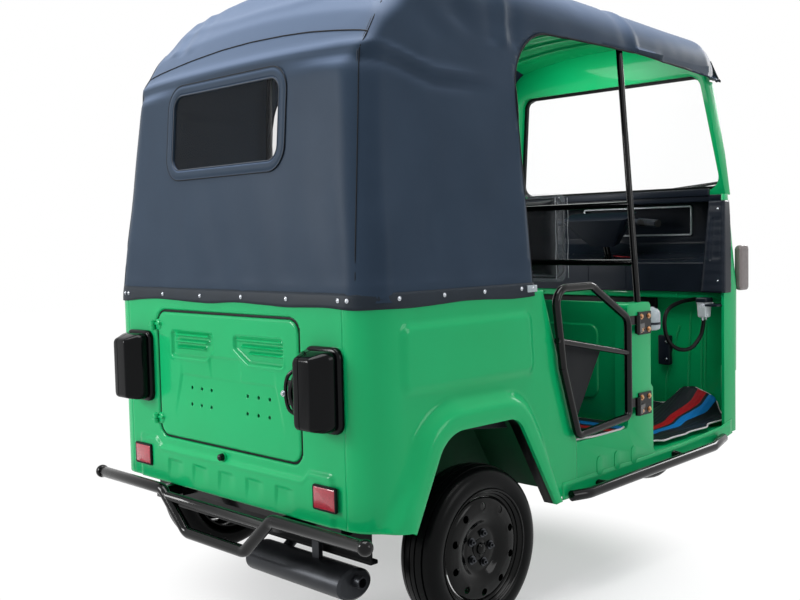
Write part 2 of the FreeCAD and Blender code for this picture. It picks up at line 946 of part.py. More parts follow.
def leaned_back(shape):
    lean = math.degrees(math.atan2(canopy_rear_top_y - rear_face_y, canopy_bow_z - belt_z))
    shape.rotate(point(0, rear_face_y, belt_z), x_axis, -lean)
    return shape


def window_outline(amount):
    outline = rectangle(window_left_x, window_right_x, window_low_z, window_high_z, window_radius)
    return grown(outline, amount)


# Side view of the open front part, below the valance
def doorway_outline():
    return [
        (door_edge_y, belt_z - cut_overrun, 0),
        (canopy_front_y + cut_overrun, belt_z - cut_overrun, 0),
        (canopy_front_y + cut_overrun, valance_front_z, 0),
        (valance_top_y, valance_rear_z, valance_bend_radius),
        (door_edge_y, valance_rear_z, door_arch_radius),
    ]


def make_canopy():
    shell = canopy_form(0).cut(canopy_form(canopy_thickness))
    reach = body_half_width + cut_overrun
    shell = shell.cut(yz_prism(doorway_outline(), -reach, reach))
    opening = xz_prism(window_outline(0), rear_face_y - cut_overrun, rear_face_y + cut_overrun)
    return shell.cut(leaned_back(opening))


def make_rear_window():
    border = xz_prism(window_outline(window_border), rear_face_y - window_border_rise, rear_face_y)
    inside = xz_prism(window_outline(-window_lap), rear_face_y - cut_overrun, rear_face_y + cut_overrun)
    pane = xz_prism(window_outline(0), rear_face_y, rear_face_y + window_pane_thickness)
    return leaned_back(fuse([border.cut(inside), pane]))


# Curved roof sheet under the canopy, with pressed ribs across it
def make_roof_panel():
    top = canopy_thickness + seat_gap
    sheet = canopy_form(top).cut(canopy_form(top + roof_panel_thickness))
    sheet = sheet.common(box(-roof_panel_half_width, roof_panel_half_width, roof_panel_rear_y, roof_panel_front_y,
                             canopy_bow_z, canopy_lid_z))
    lower = canopy_form(top + roof_panel_thickness).cut(canopy_form(top + roof_panel_thickness + roof_rib_depth))
    pitch = (roof_panel_front_y - screen_frame_depth - roof_panel_rear_y) / (roof_rib_count + 1)
    ribs = []
    for index in range(roof_rib_count):
        y = roof_panel_rear_y + pitch * (index + 1) - roof_rib_width / 2
        half = roof_panel_half_width - roof_rib_width
        ribs.append(box(-half, half, y - roof_rib_width / 2, y + roof_rib_width / 2, canopy_bow_z, canopy_lid_z))
    return fuse([sheet, lower.common(Part.makeCompound(ribs))])


# Black tubes that carry the canopy: two poles, guard rails, roof rails and a hoop
def make_canopy_rails():
    reach = body_half_width
    head = point(pole_head_x, pole_y, cant_rail_z)
    foot = point(pole_foot_x, pole_y, b_post_top_z)
    parts = []
    for side in (1, -1):
        top = point(side * head.x, head.y, head.z)
        low = point(side * foot.x, foot.y, foot.z)
        along = (top - low).normalize()
        below = box(-reach, reach, pole_y - cut_overrun, pole_y + cut_overrun, b_post_foot_z, b_post_top_z)
        parts.append(rod(low - along * pole_radius, top, pole_radius).cut(below))
        rear = point(side * cant_rail_rear_x, hoop_y, cant_rail_z)
        front = point(side * cant_rail_front_x, cant_rail_front_y, cant_rail_z)
        parts.append(rod(rear, top, pole_radius))
        parts.append(rod(top, front, pole_radius))
    for z in (rail_upper_z, rail_lower_z):
        share = (z - b_post_top_z) / (cant_rail_z - b_post_top_z)
        x = pole_foot_x + (pole_head_x - pole_foot_x) * share
        parts.append(rod(point(-x, pole_y, z), point(x, pole_y, z), pole_radius))
    top_z = roof_crown_z - shoulder_drop / 2
    hoop = [
        point(-cant_rail_rear_x - shoulder_run / 2, hoop_y, b_post_top_z + panel_thickness),
        point(-cant_rail_rear_x, hoop_y, top_z),
        point(cant_rail_rear_x, hoop_y, top_z),
        point(cant_rail_rear_x + shoulder_run / 2, hoop_y, b_post_top_z + panel_thickness),
    ]
    parts.append(tube(hoop, shoulder_run, pole_radius))
    return fuse(parts).cut(make_windscreen_frame())


# Plan of the front cowl at one height: sides, round corners and a nose
def cowl_wire(z, rear_half, shoulder_half, shoulder_y, nose_half, nose_y, radius, inset):
    outline = [
        (-rear_half, cowl_rear_y, 0),
        (rear_half, cowl_rear_y, 0),
        (shoulder_half, shoulder_y, radius),
        (nose_half, nose_y, radius),
        (-nose_half, nose_y, radius),
        (-shoulder_half, shoulder_y, radius),
    ]
    outline = grown(outline, -inset)
    if inset > 0:
        outline[0] = (outline[0][0], cowl_rear_y - cut_overrun, 0)
        outline[1] = (outline[1][0], cowl_rear_y - cut_overrun, 0)
    return xy_wire(outline, z)


# The nose above the front wheel
def nose_form(inset):
    rear_half = side_x(cowl_rear_y)
    side_half = side_x(cowl_shoulder_y)
    top_half = cowl_top_half_width
    radius = cowl_corner_radius
    low_z = cowl_arch_z + inset
    return Part.makeLoft([
        cowl_wire(low_z, rear_half, side_half, cowl_shoulder_y, nose_low_half, nose_low_y, radius, inset),
        cowl_wire(cowl_waist_z, rear_half, side_half, cowl_shoulder_y, nose_waist_half, nose_waist_y, radius, inset),
        cowl_wire(cowl_top_z - inset, top_half, top_half, cowl_shoulder_y, nose_top_half, nose_top_y, radius, inset),
    ], True, True)


# The footwell below it, closed by the toe board
def footwell_form(inset, z_low, z_high):
    rear_half = side_x(cowl_rear_y)
    side_half = side_x(cowl_shoulder_y)
    corner_x = side_half - cowl_corner_radius
    radius = cowl_corner_radius / 2
    return Part.makeLoft([
        cowl_wire(z_low, rear_half, side_half, cowl_shoulder_y, corner_x, toe_board_y, radius, inset),
        cowl_wire(z_high, rear_half, side_half, cowl_shoulder_y, corner_x, toe_board_y, radius, inset),
    ], True, True)


def make_front_cowl():
    outer = fuse([nose_form(0), footwell_form(0, cowl_low_z, cowl_arch_z)])
    shell = outer.cut(nose_form(cowl_wall))
    shell = shell.cut(footwell_form(cowl_wall, cowl_low_z - cut_overrun, cowl_arch_z + cut_overrun))
    slant = [
        (cowl_rear_y - cut_overrun, cowl_waist_z, 0),
        (cowl_rear_y, cowl_waist_z, 0),
        (cowl_post_rear_y, cowl_top_z, 0),
        (cowl_post_rear_y, cowl_top_z + cut_overrun, 0),
        (cowl_rear_y - cut_overrun, cowl_top_z + cut_overrun, 0),
    ]
    reach = body_half_width + cut_overrun
    shell = shell.cut(yz_prism(slant, -reach, reach))
    hole = rod(steering_point(yoke_low), steering_point(head_tube_low), head_tube_radius + moving_gap)
    shell = shell.cut(hole)
    open_half = cowl_top_half_width - cowl_wall
    well = box(-open_half, open_half, cowl_rear_y - cut_overrun, screen_base_y - screen_frame_depth,
               cowl_top_z - cowl_wall * 2, cowl_top_z + cut_overrun)
    return shell.cut(well).cut(make_chassis_frame())


def screen_leaned(shape):
    shape.rotate(point(0, screen_base_y, screen_base_z), x_axis, screen_lean)
    return shape


def screen_opening(amount):
    outline = [
        (-screen_low_half, screen_low_z, screen_radius),
        (screen_low_half, screen_low_z, screen_radius),
        (screen_high_half, screen_high_z, screen_radius),
        (-screen_high_half, screen_high_z, screen_radius),
    ]
    return grown(outline, amount)


# Pillars, sill and header pressed as one frame around the windscreen
def make_windscreen_frame():
    low_half = screen_low_half + screen_post_width
    high_half = screen_high_half + screen_post_width
    border = [
        (-low_half, screen_base_z - cut_overrun, 0),
        (low_half, screen_base_z - cut_overrun, 0),
        (high_half, screen_high_z, 0),
        (high_half, screen_frame_top_z + cut_overrun, 0),
        (-high_half, screen_frame_top_z + cut_overrun, 0),
        (-high_half, screen_high_z, 0),
    ]
    ring = xz_prism(border, screen_base_y - screen_frame_depth, screen_base_y)
    ring = ring.cut(xz_prism(screen_opening(0), screen_base_y - cut_overrun - screen_frame_depth,
                             screen_base_y + cut_overrun))
    ring = screen_leaned(ring)
    reach = body_half_width + cut_overrun
    under_z = valance_front_z
    lower = ring.common(box(-reach, reach, cowl_rear_y, canopy_front_y, screen_base_z, under_z))
    upper = ring.common(box(-reach, reach, cowl_rear_y, canopy_front_y, under_z, canopy_lid_z))
    upper = upper.common(canopy_form(canopy_thickness + seat_gap + roof_panel_thickness))
    return fuse([lower, upper])


def make_windscreen_seal():
    middle_y = screen_base_y - screen_seal_depth
    ring = xz_prism(screen_opening(0), middle_y, screen_base_y)
    hole = xz_prism(screen_opening(-screen_seal_width), middle_y - cut_overrun, screen_base_y + cut_overrun)
    return screen_leaned(ring.cut(hole))


def make_windscreen_glass():
    glass_y = screen_base_y - screen_seal_depth / 2
    pane = xz_prism(screen_opening(-screen_seal_width), glass_y, glass_y + screen_glass_thickness)
    return screen_leaned(pane)


def make_wiper():
    front_y = screen_base_y
    z = (screen_base_z + screen_low_z) / 2
    pivot = rod(point(wiper_pivot_x, front_y, z), point(wiper_pivot_x, front_y + wiper_stand, z),
                wiper_pivot_radius)
    end = point(wiper_pivot_x + wiper_reach, front_y + wiper_stand, z + wiper_rise)
    start = point(wiper_pivot_x, front_y + wiper_stand, z)
    arm = rod(start, end, wiper_arm_depth)
    blade_start = start + (end - start) * wiper_blade_share + z_axis * (wiper_arm_width / 2)
    blade = rod(blade_start, end, wiper_arm_width / 2)
    return screen_leaned(fuse([pivot, arm, blade]))


def make_dashboard():
    profile = [
        (dash_front_y, dash_low_z, 0),
        (dash_back_y, dash_low_z, 0),
        (dash_back_y, dash_top_z, 0),
        (dash_face_y, dash_top_z, 0),
        (dash_face_y, dash_tray_z + frame_tube, frame_tube / 2),
        (dash_face_y - frame_tube, dash_tray_z, frame_tube),
        (dash_front_y, dash_ledge_z, frame_tube / 4),
    ]
    body = yz_prism(profile, -dash_half_width, dash_half_width)
    body = body.common(nose_form(cowl_wall + seat_gap))
    recess = rectangle(-dash_recess_half, dash_recess_half, dash_recess_low_z, dash_recess_high_z, dash_recess_radius)
    body = body.cut(xz_prism(recess, dash_front_y, dash_face_y + dash_recess_depth))
    column = rod(steering_point(head_tube_low), steering_point(stem_top), dash_column_hole)
    return body.cut(column)


def make_cabin_floor():
    driver = box(-body_half_width, body_half_width, partition_rear_y + partition_thickness, cowl_rear_y,
                 driver_floor_z - floor_thickness, driver_floor_z)
    passenger = box(-body_half_width, body_half_width, passenger_floor_rear_y, partition_rear_y,
                    sill_top_z - floor_thickness, sill_top_z)
    plan = xy_prism(body_plan(pillar_depth), driver_floor_z - floor_thickness, sill_top_z)
    rear_plan = box(-wheelhouse_inner_x, wheelhouse_inner_x, passenger_floor_rear_y, door_cut_bottom_y,
                    sill_rear_z, belt_z)
    front_plan = box(-body_half_width, body_half_width, door_cut_bottom_y, cowl_rear_y, sill_rear_z, belt_z)
    passenger = passenger.common(rear_plan.fuse(front_plan))
    toe = footwell_form(cowl_wall, driver_floor_z - floor_thickness, driver_floor_z)
    toe = toe.common(box(-body_half_width, body_half_width, cowl_rear_y, toe_board_y,
                         driver_floor_z - floor_thickness, driver_floor_z))
    riser = box(-body_half_width, body_half_width, partition_rear_y, partition_rear_y + partition_thickness,
                driver_floor_z - floor_thickness, driver_floor_z)
    main = fuse([driver, riser]).common(plan)
    return Part.makeCompound([passenger.common(plan), fuse([main, toe])])


def make_partition():
    front_y = partition_rear_y + partition_thickness
    wall = box(-body_half_width, body_half_width, partition_rear_y, front_y, driver_floor_z, b_post_top_z)
    wall = wall.common(xy_prism(body_plan(pillar_depth), driver_floor_z, b_post_top_z))
    half = front_half_width - pillar_depth - partition_swage_margin
    swage = rectangle(-half, half, sill_top_z + partition_swage_margin, b_post_top_z - partition_swage_margin,
                      hatch_radius)
    foot = xz_wire(swage, partition_rear_y + panel_thickness)
    crest = xz_wire(grown(swage, -partition_swage_rise * 2), partition_rear_y - partition_swage_rise)
    return fuse([wall, Part.makeLoft([foot, crest], True, True)])


# Sheet bases under both seats, open below
def make_seat_bases():
    side = [
        (seat_base_toe_y, sill_top_z, 0),
        (seat_base_front_y, seat_base_top_z, 0),
        (seat_base_rear_y, seat_base_top_z, 0),
        (seat_base_rear_y, sill_top_z, 0),
    ]
    half = seat_base_half_width
    solid = yz_prism(side, -half, half)
    inside = yz_prism(grown(side, -seat_base_wall), -half + seat_base_wall, half - seat_base_wall)
    below = box(-half + seat_base_wall, half - seat_base_wall, seat_base_rear_y - cut_overrun,
                seat_base_toe_y - seat_base_wall, sill_top_z - cut_overrun, sill_top_z + seat_base_wall + seat_base_wall)
    shell = solid.cut(inside).cut(below)
    behind = box(-half - cut_overrun, half + cut_overrun, seat_base_rear_y - cut_overrun, seat_side_rear_y,
                 sill_top_z - cut_overrun, seat_base_top_z - seat_base_wall)
    shell = shell.cut(behind)
    driver = box(-driver_box_half_width, driver_box_half_width, driver_box_rear_y, driver_box_front_y,
                 driver_floor_z, driver_box_top_z)
    hollow = box(-driver_box_half_width + seat_base_wall, driver_box_half_width - seat_base_wall,
                 driver_box_rear_y + seat_base_wall, driver_box_front_y - seat_base_wall,
                 driver_floor_z - cut_overrun, driver_box_top_z - seat_base_wall)
    return Part.makeCompound([shell, driver.cut(hollow)])


def make_passenger_seat():
    low_z = seat_base_top_z + seat_gap
    cushion = rounded_box(-passenger_seat_half_width, passenger_seat_half_width, passenger_cushion_rear_y,
                          passenger_cushion_front_y, low_z, low_z + passenger_cushion_height, cushion_radius)
    back = rounded_box(-passenger_seat_half_width + cushion_radius, passenger_seat_half_width - cushion_radius,
                       passenger_back_rear_y, passenger_back_rear_y + passenger_back_thickness,
                       low_z, passenger_back_top_z, cushion_radius)
    return Part.makeCompound([cushion, back])


def make_driver_seat():
    low_z = driver_box_top_z + seat_gap
    cushion = rounded_box(-driver_seat_half_width, driver_seat_half_width, driver_box_rear_y, driver_cushion_front_y,
                          low_z, low_z + driver_cushion_height, cushion_radius)
    back_y = pole_y + pole_radius + seat_gap
    back = rounded_box(-driver_seat_half_width, driver_seat_half_width, back_y, back_y + driver_back_thickness,
                       driver_back_low_z, driver_back_top_z, cushion_radius)
    return Part.makeCompound([cushion, back])


def make_floor_mats():
    post_y = b_post_rear_y - sill_corner_radius
    passenger = box(-mat_half_width, mat_half_width, passenger_mat_rear_y, post_y - mat_thickness,
                    sill_top_z, sill_top_z + mat_thickness)
    half = mat_half_width - pillar_depth
    z = driver_floor_z
    profile = [
        (driver_mat_rear_y, z, 0),
        (driver_mat_front_y, z, 0),
        (driver_mat_rise_y, z + driver_mat_rise, 0),
        (driver_mat_rise_y - mat_thickness, z + driver_mat_rise, 0),
        (driver_mat_front_y - mat_thickness, z + mat_thickness, 0),
        (driver_mat_rear_y, z + mat_thickness, 0),
    ]
    driver = yz_prism(profile, -half + pillar_depth, half - pillar_depth)
    flat = box(-half, half, driver_mat_rear_y, cowl_rear_y, z, z + mat_thickness)
    return Part.makeCompound([passenger, fuse([driver, flat])])


# A point on the steering axis, at a distance above the foot beside the axle
def steering_point(distance):
    rake = math.radians(steering_rake)
    foot_y = front_axle_y - steering_offset * math.cos(rake)
    foot_z = tyre_radius - steering_offset * math.sin(rake)
    return point(0, foot_y - distance * math.sin(rake), foot_z + distance * math.cos(rake))


def steering_up():
    rake = math.radians(steering_rake)
    return point(0, -math.sin(rake), math.cos(rake))


def steering_ahead():
    rake = math.radians(steering_rake)
    return point(0, math.cos(rake), math.sin(rake))


# A block built upright at the origin is carried to the steering axis and leaned to its rake
def on_steering(shape, distance):
    shape.rotate(point(0, 0, 0), x_axis, steering_rake)
    shape.translate(steering_point(distance))
    return shape


def make_chassis_frame():
    low_z = frame_top_z - frame_tube
    half_tube = frame_tube / 2
    parts = []
    for x in (-rail_x, rail_x):
        parts.append(box(x - half_tube, x + half_tube, frame_rear_y, frame_front_y, low_z, frame_top_z))
        parts.append(box(x - half_tube, x + half_tube, frame_front_y - frame_tube, frame_front_y,
                         low_z, cowl_arch_z + cowl_wall + frame_tube))
        parts.append(box(x - half_tube, x + half_tube, jack_pad_y - jack_pad_length / 2,
                         jack_pad_y + jack_pad_length / 2, low_z - jack_pad_thickness, low_z))
    for y in cross_member_ys:
        parts.append(box(-cross_half_width, cross_half_width, y - half_tube, y + half_tube, low_z, frame_top_z))
    beam_z = cowl_arch_z + cowl_wall
    parts.append(box(-rail_x, rail_x, frame_front_y - frame_tube, frame_front_y, beam_z, beam_z + frame_tube))
    low = steering_point(head_tube_low)
    high = steering_point(head_tube_low + head_tube_length)
    gusset = box(-half_tube, half_tube, frame_front_y - half_tube, low.y, beam_z + seat_gap, beam_z + frame_tube)
    parts.append(rod(low, high, head_tube_radius))
    parts.append(gusset)
    for x in (-rail_x, rail_x):
        parts.append(box(x - half_tube, x + half_tube, passenger_floor_rear_y, passenger_floor_rear_y + frame_tube,
                         frame_top_z - half_tube, sill_top_z - floor_thickness))
    whole = fuse(parts)
    bore = rod(low - steering_up() * cut_overrun, high + steering_up() * cut_overrun, stem_radius + pin_clearance)
    return whole.cut(bore)


# A shape turned about a wheel's own axle line
def turned(profile_points, centre):
    wire = Part.Wire(profile_points)
    return Part.Face(wire).revolve(centre, x_axis, 360)


def make_tyre(centre):
    bead = rim_half_width - rim_wall
    r_bead = rim_seat_radius
    shoulder = tyre_radius - tyre_shoulder_drop

    def at(x, radius):
        return centre + point(x, 0, radius)

    edges = [
        Part.LineSegment(at(-bead, r_bead), at(bead, r_bead)).toShape(),
        Part.LineSegment(at(bead, r_bead), at(bead, rim_flange_radius)).toShape(),
        Part.Arc(at(bead, rim_flange_radius), at(tyre_half_width, tyre_widest_radius),
                 at(tyre_tread_half, shoulder)).toShape(),
        Part.Arc(at(tyre_tread_half, shoulder), at(0, tyre_radius), at(-tyre_tread_half, shoulder)).toShape(),
        Part.Arc(at(-tyre_tread_half, shoulder), at(-tyre_half_width, tyre_widest_radius),
                 at(-bead, rim_flange_radius)).toShape(),
        Part.LineSegment(at(-bead, rim_flange_radius), at(-bead, r_bead)).toShape(),
    ]
    return turned(edges, centre)


# Pressed steel wheel with its brake drum. The dished face looks outwards along +X.
def make_rim(centre, bore_radius, bore_through):
    inner = rim_seat_radius - rim_wall
    half = rim_half_width

    def ring(x_low, x_high, r_low, r_high):
        outer = Part.makeCylinder(r_high, x_high - x_low, centre + x_axis * x_low, x_axis)
        if r_low > 0:
            outer = outer.cut(Part.makeCylinder(r_low, x_high - x_low, centre + x_axis * x_low, x_axis))
        return outer

    parts = [
        ring(-half, half, inner, rim_seat_radius),
        ring(half - rim_wall, half, inner, rim_flange_radius),
        ring(-half, -half + rim_wall, inner, rim_flange_radius),
    ]
    profile = [
        (wheel_disc_outer_x, inner),
        (wheel_disc_outer_x + rim_wall, wheel_disc_step_radius),
        (wheel_disc_inner_x + rim_wall, wheel_disc_hub_radius),
        (wheel_disc_inner_x + rim_wall, 0),
        (wheel_disc_inner_x, 0),
        (wheel_disc_inner_x, wheel_disc_hub_radius),
        (wheel_disc_outer_x, wheel_disc_step_radius),
        (wheel_disc_outer_x - rim_wall, inner),
    ]
    corners = [centre + point(x, 0, r) for x, r in profile]
    disc = Part.Face(Part.makePolygon(corners + corners[:1])).revolve(centre, x_axis, 360)
    for index in range(wheel_vent_count):
        turn = 2 * math.pi * index / wheel_vent_count
        spot = centre + point(-half, wheel_vent_circle * math.sin(turn), wheel_vent_circle * math.cos(turn))
        disc = disc.cut(Part.makeCylinder(wheel_vent_radius, half * 2, spot, x_axis))
    parts.append(disc)
    face_x = wheel_disc_inner_x + rim_wall
    for index in range(wheel_nut_count):
        turn = 2 * math.pi * index / wheel_nut_count
        spot = centre + point(face_x, wheel_nut_circle * math.sin(turn), wheel_nut_circle * math.cos(turn))
        parts.append(Part.makeCylinder(wheel_nut_radius, wheel_nut_height, spot, x_axis))
    parts.append(Part.makeCone(hub_cap_radius, hub_cap_radius * hub_cap_share, hub_cap_height,
                               centre + x_axis * face_x, x_axis))
    parts.append(ring(drum_inner_x, wheel_disc_inner_x, 0, drum_radius))
    whole = fuse(parts)
    bore_end = half + half if bore_through else axle_length_in_hub + drum_inner_x
    bore_start = -half - half
    return whole.cut(Part.makeCylinder(bore_radius, bore_end - bore_start, centre + x_axis * bore_start, x_axis))


# One turn of a damper's spring, with sloping upper and lower faces
def spring_turn(centre):
    core = spring_radius - spring_wire_radius * 2
    lower = Part.makeCone(core, spring_radius, spring_wire_radius, centre - z_axis * spring_wire_radius, z_axis)
    upper = Part.makeCone(spring_radius, core, spring_wire_radius, centre, z_axis)
    return lower.fuse(upper)


# One side of the rear suspension: trailing arm, stub axle, brake plate, damper, spring and half shaft
def make_rear_suspension():
    hub = point(rear_track_x, rear_axle_y, tyre_radius)
    x_low = axle_pivot_x - arm_width / 2
    x_high = axle_pivot_x + arm_width / 2
    half = arm_height / 2
    pivot_z = frame_top_z - frame_tube - half
    arm = yz_prism([
        (rear_axle_y - half, tyre_radius - half, half / 2),
        (arm_pivot_y + half, pivot_z - half, half / 2),
        (arm_pivot_y + half, pivot_z + half - seat_gap, half / 2),
        (rear_axle_y - half, tyre_radius + half, half / 2),
    ], x_low, x_high)
    axle_end = hub.x + drum_inner_x + axle_length_in_hub - pin_clearance
    axle = rod(point(x_low, hub.y, hub.z), point(axle_end, hub.y, hub.z), axle_radius)
    plate_x = hub.x + drum_inner_x - backing_plate_gap - backing_plate_thickness
    plate = Part.makeCylinder(backing_plate_radius, backing_plate_thickness, point(plate_x, hub.y, hub.z), x_axis)
    foot = point(axle_pivot_x, damper_y, tyre_radius)
    head = point(axle_pivot_x, damper_y, damper_top_z)
    middle = foot + (head - foot) * damper_body_share
    damper = rod(foot, middle, damper_radius)
    damper_rod = rod(middle, head, damper_rod_radius)
    coils = []
    for index in range(spring_turns):
        z = foot.z + half * 2 + (head.z - foot.z - half * 3) * index / (spring_turns - 1)
        coils.append(spring_turn(point(foot.x, foot.y, z)))
    cup = rod(point(foot.x, foot.y, head.z - half / 2), head, spring_radius)
    spine = rod(point(foot.x, foot.y, foot.z + half), point(foot.x, foot.y, head.z), spring_radius - spring_wire_radius)
    shaft = rod(point(engine_half_width, hub.y, hub.z), point(x_low, hub.y, hub.z), drive_shaft_radius)
    return fuse([arm, axle, plate, damper, damper_rod, spine, cup, shaft] + coils)


def make_engine():
    return box(-engine_half_width, engine_half_width, engine_rear_y, engine_front_y, engine_low_z, engine_top_z)


def make_muffler():
    centre = point(muffler_left_x, muffler_y, muffler_z)
    ellipse = Part.Ellipse(centre, muffler_half_depth, muffler_half_height).toShape()
    ellipse.rotate(centre, y_axis, 90)
    ellipse.rotate(centre, x_axis, 90)
    can = Part.Face(Part.Wire(ellipse)).extrude(x_axis * (muffler_right_x - muffler_left_x))
    can = can.makeChamfer(muffler_half_height / 6, can.Edges)
    end = point(muffler_right_x, muffler_y, muffler_z + muffler_half_height / 4)
    pipe = rod(point(muffler_right_x - tail_pipe_reach, end.y, end.z), point(end.x + tail_pipe_reach, end.y, end.z),
               tail_pipe_radius)
    bore = rod(end, point(end.x + cut_overrun, end.y, end.z), tail_pipe_radius * tail_pipe_bore_share)
    hanger = box(rail_x - muffler_hanger_width / 2, rail_x + muffler_hanger_width / 2,
                 muffler_y - muffler_hanger_width / 4, muffler_y + muffler_hanger_width / 4,
                 muffler_z, frame_top_z - frame_tube)
    feed = rod(point(down_pipe_x, engine_rear_y, engine_low_z + down_pipe_radius * 2),
               point(down_pipe_x, muffler_y, muffler_z), down_pipe_radius)
    feed = feed.cut(box(down_pipe_x - cut_overrun, down_pipe_x + cut_overrun, engine_rear_y,
                        engine_rear_y + cut_overrun, engine_low_z - cut_overrun, engine_top_z))
    return fuse([can, pipe, hanger, feed]).cut(bore)


# Rear bumper: two end bars that drop into a lower loop, tied by a straight bar
def make_rear_bumper():
    bar_z = bumper_bar_z
    route = [
        point(-bumper_half_width, bumper_y, bar_z),
        point(-bumper_bend_x, bumper_y, bar_z),
        point(-bumper_foot_x, bumper_y, bumper_loop_z),
        point(bumper_foot_x, bumper_y, bumper_loop_z),
        point(bumper_bend_x, bumper_y, bar_z),
        point(bumper_half_width, bumper_y, bar_z),
    ]
    tie_x = bumper_bend_x - bumper_radius
    tie_z = bar_z - bumper_radius
    parts = [tube(route, bumper_bend_radius, bumper_radius),
             rod(point(-tie_x, bumper_y, tie_z), point(tie_x, bumper_y, tie_z), bumper_radius * bumper_tie_share)]
    for x in (-bumper_half_width, bumper_half_width):
        parts.append(Part.makeSphere(bumper_cap_radius, point(x, bumper_y, bar_z)))
    half = bumper_bracket_width / 2
    for x in (-rail_x, rail_x):
        parts.append(box(x - half, x + half, bumper_y, frame_rear_y, frame_top_z - bumper_bracket_width, frame_top_z))
    return fuse(parts)


def make_side_step():
    z = step_z
    outer = side_x(step_rear_bend_y) + step_stand
    front_outer = side_x(step_front_bend_y) + step_stand
    end_x = step_tube_radius * step_end_share
    route = [
        point(side_x(step_rear_y) + end_x, step_rear_y, z),
        point(outer, step_rear_bend_y, z),
        point(front_outer, step_front_bend_y, z + step_front_rise / 2),
        point(side_x(step_front_y) + end_x, step_front_y, z + step_front_rise),
    ]
    bar = tube(route, step_bend_radius, step_tube_radius)
    parts = [bar]
    for y in step_bracket_ys:
        share = (y - step_rear_bend_y) / (step_front_bend_y - step_rear_bend_y)
        x = outer + (front_outer - outer) * share
        sill_z = sill_rear_z + (sill_front_z - sill_rear_z) * (y - door_cut_bottom_y) / (cowl_rear_y - door_cut_bottom_y)
        bar_z = z + share * step_front_rise / 2
        strut = rod(point(side_x(y), y, sill_z + step_bracket_rise + step_bracket_radius),
                    point(x, y, bar_z), step_bracket_radius)
        inside = xy_prism(body_plan(0), sill_rear_z - cut_overrun, b_post_top_z)
        parts.append(strut.cut(inside))
    return fuse(parts)


# Deep lamp housings that narrow towards their faces
def make_tail_lamps():
    half = tail_lamp_width / 2
    face_half = tail_lamp_face_width / 2
    base = rectangle(tail_lamp_x - half, tail_lamp_x + half, tail_lamp_low_z, tail_lamp_high_z, tail_lamp_radius)
    face = rectangle(tail_lamp_face_x - face_half, tail_lamp_face_x + face_half,
                     tail_lamp_low_z + tail_lamp_face_inset, tail_lamp_high_z - tail_lamp_face_inset, tail_lamp_radius)
    rim = xz_prism(base, rear_face_y - tail_lamp_rim, rear_face_y)
    body = Part.makeLoft([xz_wire(base, rear_face_y - tail_lamp_rim), xz_wire(face, rear_face_y - tail_lamp_depth)],
                         True, True)
    return both_sides(fuse([rim, body]))


def make_reflectors():
    half = reflector_width / 2
    outline = rectangle(reflector_x - half, reflector_x + half, reflector_low_z, reflector_high_z, reflector_radius)
    face_y = rear_face_y - ledge_rise
    return both_sides(xz_prism(outline, face_y - reflector_depth, face_y))


# Round headlamps let into the nose, and upright marker lamps on the front corners
def make_front_lamps():
    nose = nose_form(0)
    start = point(headlamp_x, nose_waist_y - cut_overrun - headlamp_depth, headlamp_z)
    end = point(headlamp_x, nose_waist_y + headlamp_ring, headlamp_z)
    barrel = rod(start, end, headlamp_radius)
    glass = Part.makeSphere(headlamp_radius * 2, point(headlamp_x, end.y - headlamp_radius * headlamp_dome_share, headlamp_z))
    dome = rod(end, end + y_axis * headlamp_radius, headlamp_radius - headlamp_ring).common(glass)
    barrel = fuse([barrel, dome]).cut(nose)
    x = side_x(cowl_shoulder_y)
    half = side_lamp_length / 2
    lamp = rounded_box(x - side_lamp_depth, x + side_lamp_depth, side_lamp_y - half, side_lamp_y + half,
                       side_lamp_low_z, side_lamp_high_z, side_lamp_radius)
    lamp = lamp.cut(nose)
    return Part.makeCompound([barrel, mirrored(barrel), lamp, mirrored(lamp)])


# Brake fluid pot with its cap, on a small bracket from the front post
def make_brake_pot():
    foot = point(pot_x, pot_y, pot_low_z)
    cap_foot = foot + z_axis * pot_height
    jar = rod(foot, cap_foot, pot_radius)
    cap = rod(cap_foot, cap_foot + z_axis * pot_cap_height, pot_cap_radius)
    neck = rod(foot - z_axis * pot_cap_height, foot, pot_radius / 2)
    bracket = box(pot_x, side_x(cowl_rear_y + pot_bracket_width) - cowl_wall - seat_gap, cowl_rear_y,
                  cowl_rear_y + pot_bracket_width, pot_low_z + pot_height / 2,
                  pot_low_z + pot_height / 2 + pot_cap_height)
    bracket = bracket.common(nose_form(cowl_wall + seat_gap))
    return fuse([jar, cap, neck, bracket])


def make_fork():
    up = steering_up()
    axle = point(0, front_axle_y, tyre_radius)
    parts = [rod(axle - x_axis * (fork_leg_x + fork_leg_radius), axle + x_axis * (fork_leg_x + fork_leg_radius),
                 fork_axle_radius)]
    for side in (-1, 1):
        foot = axle + x_axis * (side * fork_leg_x) - up * fork_leg_radius
        parts.append(rod(foot, foot + up * (yoke_low + fork_leg_radius + yoke_height), fork_leg_radius))
    half = yoke_depth / 2
    reach = fork_leg_x + fork_leg_radius
    yoke = box(-reach, reach, -half + steering_offset / 2, half + steering_offset / 2, 0, yoke_height)
    parts.append(on_steering(yoke, yoke_low))
    parts.append(rod(steering_point(yoke_low), steering_point(stem_top), stem_radius))
    return fuse(parts)


